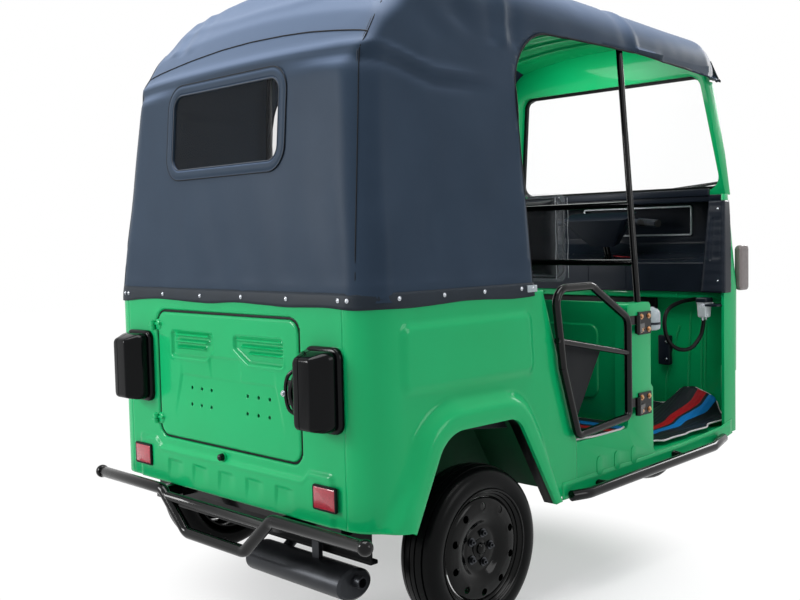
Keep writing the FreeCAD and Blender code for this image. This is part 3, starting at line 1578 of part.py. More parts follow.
def make_handlebar():
    ahead = steering_ahead()
    up = steering_up()
    centre = steering_point(stem_top)

    def at(x, back, rise):
        return centre - ahead * back + up * rise + x_axis * x

    start = handlebar_radius
    route = [
        at(-handlebar_end_x, handlebar_sweep, handlebar_rise + start),
        at(-handlebar_riser_x, 0, start),
        at(handlebar_riser_x, 0, start),
        at(handlebar_end_x, handlebar_sweep, handlebar_rise + start),
    ]
    bar = tube(route, handlebar_bend_radius, handlebar_radius)
    parts = [bar]
    for first, last in ((route[1], route[0]), (route[2], route[3])):
        along = (last - first).normalize()
        parts.append(rod(last - along * grip_length, last, grip_radius))
    cover = Part.makeLoft([
        on_steering(xy_wire(rectangle(-head_cover_foot_half, head_cover_foot_half, head_cover_rear / 2,
                                      head_cover_front / 2, head_cover_front / 4), 0), head_cover_low),
        on_steering(xy_wire(rectangle(-head_cover_half_width, head_cover_half_width, head_cover_rear,
                                      head_cover_front, head_cover_front / 2), 0), head_cover_top),
    ], True, True)
    stem = rod(steering_point(head_cover_low - cut_overrun), steering_point(stem_top), stem_radius)
    return fuse(parts + [cover]).cut(stem)


def make_mudguard():
    axle = point(0, front_axle_y, tyre_radius)
    inner = tyre_radius + mudguard_gap
    outer = inner + mudguard_thickness
    half = mudguard_half_width
    start = axle - x_axis * half
    ring = Part.makeCylinder(outer, half * 2, start, x_axis, mudguard_rear_angle - mudguard_front_angle)
    ring = ring.cut(Part.makeCylinder(inner, half * 2, start, x_axis))
    ring.rotate(axle, x_axis, mudguard_front_angle + mudguard_turn())
    reach = fork_leg_x - fork_leg_radius - seat_gap
    band = box(-reach, reach, -yoke_depth / 4, yoke_depth / 4, inner - yoke_low, 0)
    tab = on_steering(band, yoke_low)
    return fuse([ring, tab.cut(Part.makeCylinder(inner, half * 4, axle - x_axis * (half * 2), x_axis))])


# A cylinder's sweep about X starts on the Z side, so it is turned back to start at the front
def mudguard_turn():
    return -90


# One tube door, with its hinge lugs and pins' eyes
def make_door():
    def at(y, z):
        return point(side_x(y) + door_stand, y, z)

    leg_middle = at(door_leg_y, (door_low_z + door_shoulder_z) / 2)
    rear_low = at(door_low_rear_y, door_low_rear_z)
    rear_top = at(door_rear_top_y, door_top_z - door_bend_radius / 2)
    rear_middle = rear_low + (rear_top - rear_low) * 0.5
    upper = tube([leg_middle, at(door_leg_y, door_shoulder_z), at(door_top_front_y, door_top_z),
                  at(door_top_rear_y, door_top_z), rear_middle], door_bend_radius, door_tube_radius)
    lower = tube([leg_middle, at(door_leg_y, door_low_z), rear_low, rear_middle], door_bend_radius / 2,
                 door_tube_radius)
    share = (door_bar_rear_z - rear_low.z) / (rear_top.z - rear_low.z)
    bar_rear = rear_low + (rear_top - rear_low) * share
    bar = rod(bar_rear, at(door_leg_y, door_bar_front_z), door_bar_radius)
    parts = [upper, lower, bar]
    hinge_x = side_x(door_hinge_y) + door_hinge_stand
    for z in door_hinge_zs:
        low = point(hinge_x, door_hinge_y, z + seat_gap + hinge_knuckle_gap)
        knuckle = rod(low, low + z_axis * door_knuckle_length, door_knuckle_radius)
        lug = box(hinge_x - door_knuckle_radius, hinge_x, door_leg_y, door_hinge_y, low.z, low.z + door_knuckle_length)
        parts.append(fuse([knuckle, lug]))
    whole = fuse(parts)
    for z in door_hinge_zs:
        bore = rod(point(hinge_x, door_hinge_y, z - door_knuckle_length),
                   point(hinge_x, door_hinge_y, z + door_knuckle_length * 2), door_pin_radius + pin_clearance)
        whole = whole.cut(bore)
    return whole


# Black hinge plates bolted to the B-post, each with a knuckle and its pin
def make_door_hinges():
    hinge_x = side_x(door_hinge_y) + door_hinge_stand
    parts = []
    for z in door_hinge_zs:
        half = door_hinge_plate_height / 2
        outline = [
            (side_x(door_hinge_plate_rear_y), door_hinge_plate_rear_y, 0),
            (side_x(door_hinge_plate_front_y), door_hinge_plate_front_y, 0),
            (side_x(door_hinge_plate_front_y) + door_hinge_plate_thickness, door_hinge_plate_front_y, 0),
            (side_x(door_hinge_plate_rear_y) + door_hinge_plate_thickness, door_hinge_plate_rear_y, 0),
        ]
        plate = xy_prism(outline, z - half, z + half)
        low = point(hinge_x, door_hinge_y, z - door_knuckle_length)
        knuckle = rod(low, low + z_axis * door_knuckle_length, door_knuckle_radius)
        arm = xy_prism([
            (hinge_x - door_knuckle_radius, door_hinge_y, 0),
            (hinge_x, door_hinge_y, 0),
            (side_x(door_hinge_plate_rear_y) + door_hinge_plate_thickness, door_hinge_plate_front_y / 2, 0),
            (side_x(door_hinge_plate_rear_y) + seat_gap, door_hinge_plate_rear_y, 0),
        ], low.z, low.z + door_knuckle_length)
        pin = rod(low, low + z_axis * (door_knuckle_length * 2), door_pin_radius)
        parts.append(fuse([plate, knuckle, arm, pin]))
    return Part.makeCompound(parts)


def rear_hub():
    return point(rear_track_x, rear_axle_y, tyre_radius)


def front_hub():
    return point(0, front_axle_y, tyre_radius)


quarter_panel = make_quarter_panel()
side_panel = make_side_panel()
rear_suspension = make_rear_suspension()
rear_tyre = make_tyre(rear_hub())
rear_rim = make_rim(rear_hub(), axle_radius + pin_clearance, False)
door = make_door()
door_hinges = make_door_hinges()

pieces = {
    "chassis_frame": make_chassis_frame(),
    "cabin_floor": make_cabin_floor(),
    "rear_panel": make_rear_panel(),
    "quarter_panel_right": quarter_panel,
    "quarter_panel_left": mirrored(quarter_panel),
    "side_panel_right": side_panel,
    "side_panel_left": mirrored(side_panel),
    "wheelhouses": both_sides(make_wheelhouse()),
    "partition": make_partition(),
    "front_cowl": make_front_cowl(),
    "windscreen_frame": make_windscreen_frame(),
    "windscreen_seal": make_windscreen_seal(),
    "windscreen_glass": make_windscreen_glass(),
    "wiper": make_wiper(),
    "dashboard": make_dashboard(),
    "roof_panel": make_roof_panel(),
    "canopy": make_canopy(),
    "rear_window": make_rear_window(),
    "canopy_rails": make_canopy_rails(),
    "seat_bases": make_seat_bases(),
    "passenger_seat": make_passenger_seat(),
    "driver_seat": make_driver_seat(),
    "floor_mats": make_floor_mats(),
    "door_hinges": Part.makeCompound([door_hinges, mirrored(door_hinges)]),
    "tail_lamps": make_tail_lamps(),
    "reflectors": make_reflectors(),
    "front_lamps": make_front_lamps(),
    "rear_bumper": make_rear_bumper(),
    "side_steps": both_sides(make_side_step()),
    "muffler": make_muffler(),
    "engine": make_engine(),
    "rear_suspension": both_sides(rear_suspension),
    "brake_pot": make_brake_pot(),
    "front_fork": make_fork(),
    "handlebar": make_handlebar(),
    "front_mudguard": make_mudguard(),
    "front_tyre": make_tyre(front_hub()),
    "front_rim": make_rim(front_hub(), fork_axle_radius + pin_clearance, True),
    "rear_tyre_right": rear_tyre,
    "rear_tyre_left": mirrored(rear_tyre),
    "rear_rim_right": rear_rim,
    "rear_rim_left": mirrored(rear_rim),
    "hatch_panel": make_hatch_panel(),
    "hatch_handle": make_hatch_handle(),
    "door_right": door,
    "door_left": mirrored(door),
}

os.makedirs("parts", exist_ok=True)
for name, shape in pieces.items():
    shape.exportStep("parts/" + name + ".step")
    print(name, len(shape.Solids), "solids", round(shape.Volume), "valid" if shape.isValid() else "not valid")
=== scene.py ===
import bpy
import bmesh
import json
import math
from mathutils import Matrix, Vector, noise
from mathutils.bvhtree import BVHTree


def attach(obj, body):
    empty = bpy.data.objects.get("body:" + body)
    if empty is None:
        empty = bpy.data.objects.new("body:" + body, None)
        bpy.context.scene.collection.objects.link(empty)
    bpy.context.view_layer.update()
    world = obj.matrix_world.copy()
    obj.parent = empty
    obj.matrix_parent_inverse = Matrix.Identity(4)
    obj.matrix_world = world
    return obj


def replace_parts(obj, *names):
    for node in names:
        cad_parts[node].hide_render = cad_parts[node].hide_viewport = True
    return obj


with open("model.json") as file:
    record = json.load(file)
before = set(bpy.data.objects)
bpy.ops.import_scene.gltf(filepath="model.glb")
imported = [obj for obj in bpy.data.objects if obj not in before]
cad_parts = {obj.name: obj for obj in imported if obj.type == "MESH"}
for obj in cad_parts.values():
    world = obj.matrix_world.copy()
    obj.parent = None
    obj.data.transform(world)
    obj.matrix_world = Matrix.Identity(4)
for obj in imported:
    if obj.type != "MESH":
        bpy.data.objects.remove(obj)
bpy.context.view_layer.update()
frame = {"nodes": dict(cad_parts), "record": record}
nodes = frame["nodes"]
scene = bpy.context.scene
mm = 0.001
xAxis = Vector((1, 0, 0))
yAxis = Vector((0, 1, 0))
zAxis = Vector((0, 0, 1))

camera = {"place": (2.5712, -3.0247, 1.1320), "azimuth": 45.53, "down": 3.489, "roll": -1.281,
          "focalPixels": 1032.85, "width": 800}  # where the photographer stood


def aimCamera():
    a = math.radians(camera["azimuth"])
    e = math.radians(camera["down"])
    r = math.radians(camera["roll"])
    ahead = Vector((-math.sin(a) * math.cos(e), math.cos(a) * math.cos(e), -math.sin(e)))
    right = Vector((math.cos(a), math.sin(a), 0))
    up = right.cross(ahead)
    turnedRight = right * math.cos(r) + up * math.sin(r)
    turnedUp = up * math.cos(r) - right * math.sin(r)
    data = bpy.data.cameras.new("photoCamera")
    data.sensor_width = 36
    data.lens = camera["focalPixels"] / camera["width"] * data.sensor_width
    viewer = bpy.data.objects.new("photoCamera", data)
    turn = Matrix((turnedRight, turnedUp, -ahead)).transposed()
    viewer.matrix_world = Matrix.Translation(Vector(camera["place"])) @ turn.to_4x4()
    scene.collection.objects.link(viewer)
    scene.camera = viewer


# Materials

def hexToLinear(code):
    values = [int(code[i:i + 2], 16) / 255 for i in (1, 3, 5)]
    return [v / 12.92 if v <= 0.04045 else ((v + 0.055) / 1.055) ** 2.4 for v in values] + [1.0]


def addNode(tree, kind, settings=None, inputs=None, links=None):
    node = tree.nodes.new(kind)
    for key, value in (settings or {}).items():
        setattr(node, key, value)
    for key, value in (inputs or {}).items():
        node.inputs[key].default_value = value
    for key, source in (links or {}).items():
        tree.links.new(source, node.inputs[key])
    return node


def perMetre(sizeInMm):
    return 1000 / sizeInMm  # a pattern's scale from the real size of one of its cells


def startFinish(name, color, roughness, metallic=0.0, ior=1.45):
    material = bpy.data.materials.new(name)
    material.use_nodes = True
    tree = material.node_tree
    shader = tree.nodes["Principled BSDF"]
    shader.inputs["Base Color"].default_value = hexToLinear(color)
    shader.inputs["Roughness"].default_value = roughness
    shader.inputs["Metallic"].default_value = metallic
    shader.inputs["IOR"].default_value = ior
    place = addNode(tree, "ShaderNodeTexCoord").outputs["Object"]
    return material, tree, shader, place


def variedFinish(name, color, other, roughness, cloudMm, grainMm, grainDepthMm, metallic=0.0, spread=0.08,
                 ior=1.45):
    material, tree, shader, place = startFinish(name, color, roughness, metallic, ior)
    cloud = addNode(tree, "ShaderNodeTexNoise", {}, {"Scale": perMetre(cloudMm), "Detail": 4.0}, {"Vector": place})
    mix = addNode(tree, "ShaderNodeMix", {"data_type": "RGBA"}, {6: hexToLinear(color), 7: hexToLinear(other)},
                  {0: cloud.outputs[0]})
    tree.links.new(mix.outputs[2], shader.inputs["Base Color"])
    rough = addNode(tree, "ShaderNodeMapRange", {}, {3: roughness - spread, 4: roughness + spread},
                    {0: cloud.outputs[0]})
    tree.links.new(rough.outputs[0], shader.inputs["Roughness"])
    grain = addNode(tree, "ShaderNodeTexNoise", {}, {"Scale": perMetre(grainMm), "Detail": 3.0}, {"Vector": place})
    bump = addNode(tree, "ShaderNodeBump", {}, {"Strength": 1.0, "Distance": grainDepthMm * mm},
                   {"Height": grain.outputs[0]})
    tree.links.new(bump.outputs["Normal"], shader.inputs["Normal"])
    return material


# Stoved enamel on pressed steel: even colour under a clear gloss, with a faint orange peel about 3 mm across
def greenEnamel():
    material, tree, shader, place = startFinish("greenEnamel", "#009c5a", 0.4, 0.0, 1.2)
    shader.inputs["Coat Weight"].default_value = 0.28
    shader.inputs["Coat Roughness"].default_value = 0.07
    cloud = addNode(tree, "ShaderNodeTexNoise", {}, {"Scale": perMetre(260), "Detail": 2.0}, {"Vector": place})
    mix = addNode(tree, "ShaderNodeMix", {"data_type": "RGBA"}, {6: hexToLinear("#009c59"), 7: hexToLinear("#06a563")},
                  {0: cloud.outputs[0]})
    tree.links.new(mix.outputs[2], shader.inputs["Base Color"])
    peel = addNode(tree, "ShaderNodeTexNoise", {}, {"Scale": perMetre(3.2), "Detail": 1.0}, {"Vector": place})
    wave = addNode(tree, "ShaderNodeTexNoise", {}, {"Scale": perMetre(150), "Detail": 1.0}, {"Vector": place})
    low = addNode(tree, "ShaderNodeBump", {}, {"Strength": 1.0, "Distance": 1.2 * mm}, {"Height": wave.outputs[0]})
    bump = addNode(tree, "ShaderNodeBump", {}, {"Strength": 0.35, "Distance": 0.05 * mm},
                   {"Height": peel.outputs[0], "Normal": low.outputs["Normal"]})
    tree.links.new(bump.outputs["Normal"], shader.inputs["Normal"])
    tree.links.new(bump.outputs["Normal"], shader.inputs["Coat Normal"])
    return material


# Coated canvas: slate grey, matt, a fine woven grain drawn at 2.4 mm so that it shows, paler in random patches, and
# painted paler on its upward faces as painted light from above
def canopyVinyl():
    material, tree, shader, place = startFinish("canopyVinyl", "#2e3845", 0.42, 0.0, 1.14)
    shader.inputs["Sheen Weight"].default_value = 0.03
    shader.inputs["Sheen Roughness"].default_value = 0.35
    cloud = addNode(tree, "ShaderNodeTexNoise", {}, {"Scale": perMetre(180), "Detail": 5.0}, {"Vector": place})
    mix = addNode(tree, "ShaderNodeMix", {"data_type": "RGBA"}, {6: hexToLinear("#263240"), 7: hexToLinear("#303d4c")},
                  {0: cloud.outputs[0]})
    facing = addNode(tree, "ShaderNodeNewGeometry")
    upward = addNode(tree, "ShaderNodeSeparateXYZ", {}, {}, {0: facing.outputs["Normal"]})
    paintedTopLight = addNode(tree, "ShaderNodeMapRange", {"interpolation_type": "SMOOTHSTEP"},
                       {1: 0.1, 2: 0.7, 3: 0.0, 4: 1.0}, {0: upward.outputs["Z"]})
    top = addNode(tree, "ShaderNodeMix", {"data_type": "RGBA"}, {7: hexToLinear("#56647a")},
                  {0: paintedTopLight.outputs[0], 6: mix.outputs[2]})  # painted light: the roof and other upward faces are painted paler, for the light falling on them from above
    tree.links.new(top.outputs[2], shader.inputs["Base Color"])
    weave = addNode(tree, "ShaderNodeTexVoronoi", {}, {"Scale": perMetre(2.4)}, {"Vector": place})
    bump = addNode(tree, "ShaderNodeBump", {}, {"Strength": 0.5, "Distance": 0.25 * mm}, {"Height": weave.outputs[0]})
    tree.links.new(bump.outputs["Normal"], shader.inputs["Normal"])
    return material


# Gloss black enamel on steel tube: near black, mirror-like, a little uneven
def blackEnamel():
    material, tree, shader, place = startFinish("blackEnamel", "#030405", 0.16, 0.0, 1.22)
    shader.inputs["Coat Weight"].default_value = 0.2
    shader.inputs["Coat Roughness"].default_value = 0.05
    wave = addNode(tree, "ShaderNodeTexNoise", {}, {"Scale": perMetre(22), "Detail": 2.0}, {"Vector": place})
    rough = addNode(tree, "ShaderNodeMapRange", {}, {3: 0.12, 4: 0.22}, {0: wave.outputs[0]})
    tree.links.new(rough.outputs[0], shader.inputs["Roughness"])
    bump = addNode(tree, "ShaderNodeBump", {}, {"Strength": 0.4, "Distance": 0.2 * mm}, {"Height": wave.outputs[0]})
    tree.links.new(bump.outputs["Normal"], shader.inputs["Normal"])
    return material


# Red acrylic reflector: prisms about 4 mm across under a smooth face
def redReflector():
    material, tree, shader, place = startFinish("redAcrylic", "#8f1226", 0.25, 0.0, 1.49)
    shader.inputs["Coat Weight"].default_value = 0.7
    shader.inputs["Coat Roughness"].default_value = 0.08
    prism = addNode(tree, "ShaderNodeTexVoronoi", {"distance": "CHEBYCHEV"}, {"Scale": perMetre(4)}, {"Vector": place})
    mix = addNode(tree, "ShaderNodeMix", {"data_type": "RGBA"}, {6: hexToLinear("#b01c33"), 7: hexToLinear("#7c0f20")},
                  {0: prism.outputs[0]})
    tree.links.new(mix.outputs[2], shader.inputs["Base Color"])
    bump = addNode(tree, "ShaderNodeBump", {}, {"Strength": 0.5, "Distance": 0.6 * mm}, {"Height": prism.outputs[0]})
    tree.links.new(bump.outputs["Normal"], shader.inputs["Normal"])
    return material


# Tyre rubber: charcoal black and soft, unevenly dusty in tone, with a fine grain about 1.6 mm
def tyreRubber():
    material, tree, shader, place = startFinish("tyreRubber", "#050607", 0.3, 0.0, 1.17)
    dust = addNode(tree, "ShaderNodeTexNoise", {}, {"Scale": perMetre(40), "Detail": 6.0}, {"Vector": place})
    mix = addNode(tree, "ShaderNodeMix", {"data_type": "RGBA"}, {6: hexToLinear("#040505"), 7: hexToLinear("#090a0b")},
                  {0: dust.outputs[0]})
    tree.links.new(mix.outputs[2], shader.inputs["Base Color"])
    grain = addNode(tree, "ShaderNodeTexNoise", {}, {"Scale": perMetre(1.6), "Detail": 2.0}, {"Vector": place})
    bump = addNode(tree, "ShaderNodeBump", {}, {"Strength": 0.4, "Distance": 0.15 * mm}, {"Height": grain.outputs[0]})
    tree.links.new(bump.outputs["Normal"], shader.inputs["Normal"])
    return material


# Clear sheet and glass: thin, almost colourless, seen by its reflections
def clearFinish(name, color, roughness, waveMm, waveDepthMm, alpha):
    material, tree, shader, place = startFinish(name, color, roughness, 0.0, 1.45)
    shader.inputs["Alpha"].default_value = alpha
    wave = addNode(tree, "ShaderNodeTexNoise", {}, {"Scale": perMetre(waveMm), "Detail": 2.0}, {"Vector": place})
    bump = addNode(tree, "ShaderNodeBump", {}, {"Strength": 0.6, "Distance": waveDepthMm * mm},
                   {"Height": wave.outputs[0]})
    tree.links.new(bump.outputs["Normal"], shader.inputs["Normal"])
    return material


# Ribbed rubber matting, ribs about 9 mm apart
def matRubber(name, color, other):
    material, tree, shader, place = startFinish(name, color, 0.42, 0.0, 1.28)
    worn = addNode(tree, "ShaderNodeTexNoise", {}, {"Scale": perMetre(60), "Detail": 4.0}, {"Vector": place})
    mix = addNode(tree, "ShaderNodeMix", {"data_type": "RGBA"}, {6: hexToLinear(color), 7: hexToLinear(other)},
                  {0: worn.outputs[0]})
    tree.links.new(mix.outputs[2], shader.inputs["Base Color"])
    rib = addNode(tree, "ShaderNodeTexWave", {"bands_direction": "X"}, {"Scale": perMetre(9) / 6.283},
                  {"Vector": place})
    bump = addNode(tree, "ShaderNodeBump", {}, {"Strength": 0.7, "Distance": 1.2 * mm}, {"Height": rib.outputs[0]})
    tree.links.new(bump.outputs["Normal"], shader.inputs["Normal"])
    return material


finishes = {
    "green": greenEnamel(),
    "vinyl": canopyVinyl(),
    # Edge binding and seam tape: the same cloth, pressed smooth and nearly black
    "binding": variedFinish("vinylBinding", "#0a0c0f", "#111418", 0.46, 60, 1.4, 0.08, 0.0, 0.08, 1.2),
    # Hem tape: darker canvas, doubled and sewn
    "hem": variedFinish("hemTape", "#1b2127", "#272e36", 0.46, 70, 2.4, 0.15, 0.0, 0.08, 1.2),
    "thread": variedFinish("polyesterThread", "#2a3038", "#3a424c", 0.6, 20, 1.0, 0.05),
    "enamel": blackEnamel(),
    # Chassis black on frame steel: satin, a little dusty
    "frame": variedFinish("chassisBlack", "#08090a", "#0f1011", 0.4, 70, 1.2, 0.06, 0.0, 0.08, 1.2),
    "tyre": tyreRubber(),
    # Wheel enamel: gloss black, thin and slightly rippled
    "wheel": variedFinish("wheelEnamel", "#020303", "#050606", 0.14, 30, 6.0, 0.12, 0.0, 0.05, 1.24),
    # Moulded lamp and trim plastic: gloss black skin
    "gloss": variedFinish("glossMouldedPlastic", "#030406", "#060709", 0.12, 60, 9.0, 0.08, 0.0, 0.04, 1.22),
    # Dashboard plastic: black, leather grain about 2 mm, soft gloss
    "dash": variedFinish("grainedDashPlastic", "#12171f", "#1a212b", 0.34, 90, 2.0, 0.14, 0.0, 0.08, 1.24),
    "rubber": variedFinish("mouldedRubberTrim", "#090a0b", "#101112", 0.42, 30, 1.5, 0.06, 0.0, 0.08, 1.2),
    "sheet": clearFinish("clearVinylSheet", "#20242a", 0.06, 160, 0.6, 0.12),
    "glass": clearFinish("toughenedGlass", "#e8f2f2", 0.03, 400, 0.2, 0.02),
    "film": clearFinish("wrappingFilm", "#dfe5ea", 0.08, 26, 16.0, 0.09),
    "reflector": redReflector(),
    # Lamp lenses: fluted acrylic, flutes about 5 mm, clear in the headlamps and smoked at the corners
    "lamp": variedFinish("lampAcrylic", "#b9bec4", "#8f959c", 0.12, 18, 5.0, 0.5),
    "amber": variedFinish("smokedAcrylic", "#7d7371", "#655d5c", 0.16, 18, 5.0, 0.5),
    # Inside the wheel arches: the same enamel, unpolished, its green painted dark as painted shade inside the arches
    "greenShade": variedFinish("wheelhouseShadeEnamel", "#07311c", "#0b4226", 0.5, 60, 1.2, 0.05, 0.0, 0.08, 1.2),
    # Seat vinyl: black, soft grain about 2.5 mm
    "seat": variedFinish("seatVinyl", "#0a0d0f", "#12161a", 0.44, 80, 2.5, 0.2, 0.0, 0.08, 1.2),
    "mat": matRubber("greyMatRubber", "#13161b", "#1b1f25"),
    "matRed": matRubber("redMatRubber", "#a5101c", "#8e0f1a"),
    "matBlue": matRubber("blueMatRubber", "#1170b6", "#1668a4"),
    # Pale rubber edge of the mats
    "matEdge": variedFinish("paleRubberEdge", "#b9b4b6", "#cfcacb", 0.55, 30, 1.5, 0.05),
    "white": variedFinish("whitePolypropylene", "#d9dde0", "#c9ced2", 0.35, 30, 3.0, 0.05),
    # Milky polythene, grey: partly its own milky tone, partly painted shade for the bottle in the shaded cab
    "bottle": variedFinish("shadedMilkyPolythene", "#8d979c", "#aab3b7", 0.25, 14, 4.0, 0.4),
    # Fasteners: bright, blackened and yellow zinc on turned steel
    "nut": variedFinish("blackenedNutSteel", "#4a4c50", "#2e3033", 0.3, 8, 1.0, 0.03, 1.0),
    "zinc": variedFinish("brightZinc", "#c9cdd2", "#9ea4ab", 0.26, 8, 1.0, 0.03, 1.0),
    "copper": variedFinish("yellowZinc", "#c99b72", "#a8825f", 0.3, 8, 1.0, 0.03, 0.9),
    "silver": variedFinish("silverTrimPaint", "#c3c8cc", "#aeb4b9", 0.3, 25, 1.0, 0.02, 0.6),
    # Aluminised exhaust steel, darkened by heat
    "exhaust": variedFinish("aluminisedExhaustSteel", "#26282b", "#3a3c40", 0.38, 60, 1.6, 0.08, 0.75),
    "alloy": variedFinish("castEngineAlloy", "#6d7175", "#85898d", 0.5, 40, 1.8, 0.2, 0.8),
    "wire": variedFinish("redWireSleeve", "#a5101d", "#86101a", 0.4, 12, 1.0, 0.03),
}
slotFinish = {"green_paint": "green", "black_paint": "enamel", "black_steel": "enamel", "canopy_vinyl": "vinyl",
              "clear_sheet": "sheet", "clear_glass": "glass", "rubber_trim": "rubber", "black_plastic": "dash",
              "seat_vinyl": "seat", "mat_rubber": "mat", "red_reflector": "reflector", "lamp_plastic": "lamp",
              "exhaust_steel": "exhaust", "engine_alloy": "alloy", "white_plastic": "white", "tyre": "tyre",
              "wheel_steel": "wheel"}
slotOf = {item["node"]: item["material_slot"] for item in frame["record"]["subparts"]}
bodyOf = {node: body for body, members in frame["record"]["behaviour"]["bodies"].items() for node in members}
for node, slot in slotOf.items():
    nodes[node].data.materials.clear()
    nodes[node].data.materials.append(finishes[slotFinish[slot]])
print("materials are made")


# Making pieces

def newPiece(name, bm, finish, body, sharp=38):
    mesh = bpy.data.meshes.new(name)
    bm.to_mesh(mesh)
    bm.free()
    for face in mesh.polygons:
        face.use_smooth = True
    mesh.set_sharp_from_angle(angle=math.radians(sharp))
    piece = bpy.data.objects.new(name, mesh)
    scene.collection.objects.link(piece)
    mesh.materials.append(finishes[finish])
    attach(piece, body)
    return piece


sideName = {1: "Right", -1: "Left"}


def vertsOf(geom):
    return [g for g in geom if isinstance(g, bmesh.types.BMVert)]


def faceOutward(bm):
    bmesh.ops.recalc_face_normals(bm, faces=bm.faces[:])


def bevelEdges(bm, edges, width, segments=3, slide=False):
    bmesh.ops.bevel(bm, geom=edges, offset=width, offset_type="OFFSET", segments=segments, profile=0.5,
                    affect="EDGES", clamp_overlap=True, material=-1, loop_slide=slide)


def addMirror(bm):
    copied = bmesh.ops.duplicate(bm, geom=bm.verts[:] + bm.edges[:] + bm.faces[:])["geom"]
    for vert in vertsOf(copied):
        vert.co.x = -vert.co.x


def smooth(low, high, value):
    t = min(1.0, max(0.0, (value - low) / (high - low)))
    return t * t * (3 - 2 * t)


def bell(value, middle, width):
    return math.exp(-((value - middle) / width) ** 2)


# A rounded outline is a convex list of corners (u, v, radius). It gives the distance outside it, below 0 within.
def roundedOutline(corners):
    count = len(corners)
    points = [Vector((u, v)) for u, v, r in corners]
    turn = sum(points[i].x * points[(i + 1) % count].y - points[i].y * points[(i + 1) % count].x for i in range(count))
    if turn < 0:
        points.reverse()
    radii = [r for u, v, r in corners]
    if turn < 0:
        radii.reverse()
    normals = []
    for i in range(count):
        run = (points[(i + 1) % count] - points[i]).normalized()
        normals.append(Vector((run.y, -run.x)))
    offsets = [normals[i].dot(points[i]) for i in range(count)]
    wedges = []
    for i in range(count):
        before, after, r = normals[i - 1], normals[i], radii[i]
        if r > 0:
            det = before.x * after.y - before.y * after.x
            a, b = offsets[i - 1] - r, offsets[i] - r
            centre = Vector(((a * after.y - b * before.y) / det, (before.x * b - after.x * a) / det))
            wedges.append((centre, before, after, r))

    def distance(u, v):
        for centre, before, after, r in wedges:
            qu, qv = u - centre.x, v - centre.y
            if before.x * qv - before.y * qu > 0 and qu * after.y - qv * after.x > 0:
                return math.hypot(qu, qv) - r
        return max(n.x * u + n.y * v - o for n, o in zip(normals, offsets))

    return distance


def rectangleCorners(uLow, uHigh, vLow, vHigh, radius):
    return [(uLow, vLow, radius), (uHigh, vLow, radius), (uHigh, vHigh, radius), (uLow, vHigh, radius)]


# Moves a point onto an outline, down the slope of its distance, unless it is out of reach
def ontoOutline(distance, u, v, reach=1.0):
    tiny = 1e-5
    for step in range(3):
        d = distance(u, v)
        if abs(d) > reach:
            break
        du = (distance(u + tiny, v) - d) / tiny
        dv = (distance(u, v + tiny) - d) / tiny
        size = du * du + dv * dv or 1.0
        u -= d * du / size
        v -= d * dv / size
    return u, v


# A sheet in plane coordinates (u, v, 0): faces inside a hole go, and the edge left is drawn onto its outline
def cutHole(bm, distance, cell):
    inside = [f for f in bm.faces if distance(*f.calc_center_median().xy) < 0]
    bmesh.ops.delete(bm, geom=inside, context="FACES")
    for vert in bm.verts:
        if vert.is_boundary:
            u, v = ontoOutline(distance, vert.co.x, vert.co.y, cell * 1.5)
            if math.hypot(u - vert.co.x, v - vert.co.y) < cell * 1.6:
                vert.co.x, vert.co.y = u, v


def flatGrid(uLow, uHigh, vLow, vHigh, cell):
    bm = bmesh.new()
    bmesh.ops.create_grid(bm, x_segments=max(1, round((uHigh - uLow) / cell)),
                          y_segments=max(1, round((vHigh - vLow) / cell)), size=0.5)
    for vert in bm.verts:
        vert.co = Vector((uLow + (vert.co.x + 0.5) * (uHigh - uLow), vLow + (vert.co.y + 0.5) * (vHigh - vLow), 0))
    return bm


def solidPiece(name, bm, thickness, finish, body, sharp=38):
    faceOutward(bm)
    piece = newPiece(name, bm, finish, body, sharp)
    wall = piece.modifiers.new("wall", "SOLIDIFY")
    wall.thickness = thickness
    wall.offset = -1
    wall.use_even_offset = True
    return piece


def applyModifiers(piece):
    evaluated = piece.evaluated_get(bpy.context.evaluated_depsgraph_get())
    mesh = bpy.data.meshes.new_from_object(evaluated)
    piece.modifiers.clear()
    piece.data = mesh


# A single skin becomes sheet metal or cloth, its thickness on the inside
def addWall(piece, thickness):
    wall = piece.modifiers.new("wall", "SOLIDIFY")
    wall.thickness = thickness
    wall.offset = -1
    applyModifiers(piece)


# A CAD node's own form with its edges rounded, in place of the sharp one
def roundedCopy(node, finish, width, segments=2, angle=35):
    bm = bmesh.new()
    bm.from_mesh(nodes[node].data)
    bmesh.ops.remove_doubles(bm, verts=bm.verts[:], dist=0.02 * mm)
    bmesh.ops.dissolve_limit(bm, angle_limit=math.radians(0.6), verts=bm.verts[:], edges=bm.edges[:])
    sharpEdges = [e for e in bm.edges if len(e.link_faces) == 2 and e.calc_face_angle() > math.radians(angle)]
    bevelEdges(bm, sharpEdges, width, segments, True)
    piece = newPiece(node + "_rounded", bm, finish, bodyOf[node])
    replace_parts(piece, node)
    return piece


def addRod(bm, start, end, radius, segments=16, endRadius=None):
    start, end = Vector(start), Vector(end)
    turn = zAxis.rotation_difference(end - start).to_matrix().to_4x4()
    place = Matrix.Translation((start + end) / 2) @ turn
    return bmesh.ops.create_cone(bm, cap_ends=True, segments=segments, radius1=radius,
                                 radius2=radius if endRadius is None else endRadius, depth=(end - start).length,
                                 matrix=place)["verts"]


def addBlock(bm, low, high, bevel=0.0, segments=2):
    low, high = Vector(low), Vector(high)
    size = high - low
    made = bmesh.ops.create_cube(bm, size=1, matrix=Matrix.Translation((low + high) / 2) @ Matrix.Diagonal(
        (size.x, size.y, size.z, 1)))["verts"]
    if bevel > 0:
        bevelEdges(bm, list({e for v in made for e in v.link_edges}), bevel, segments)


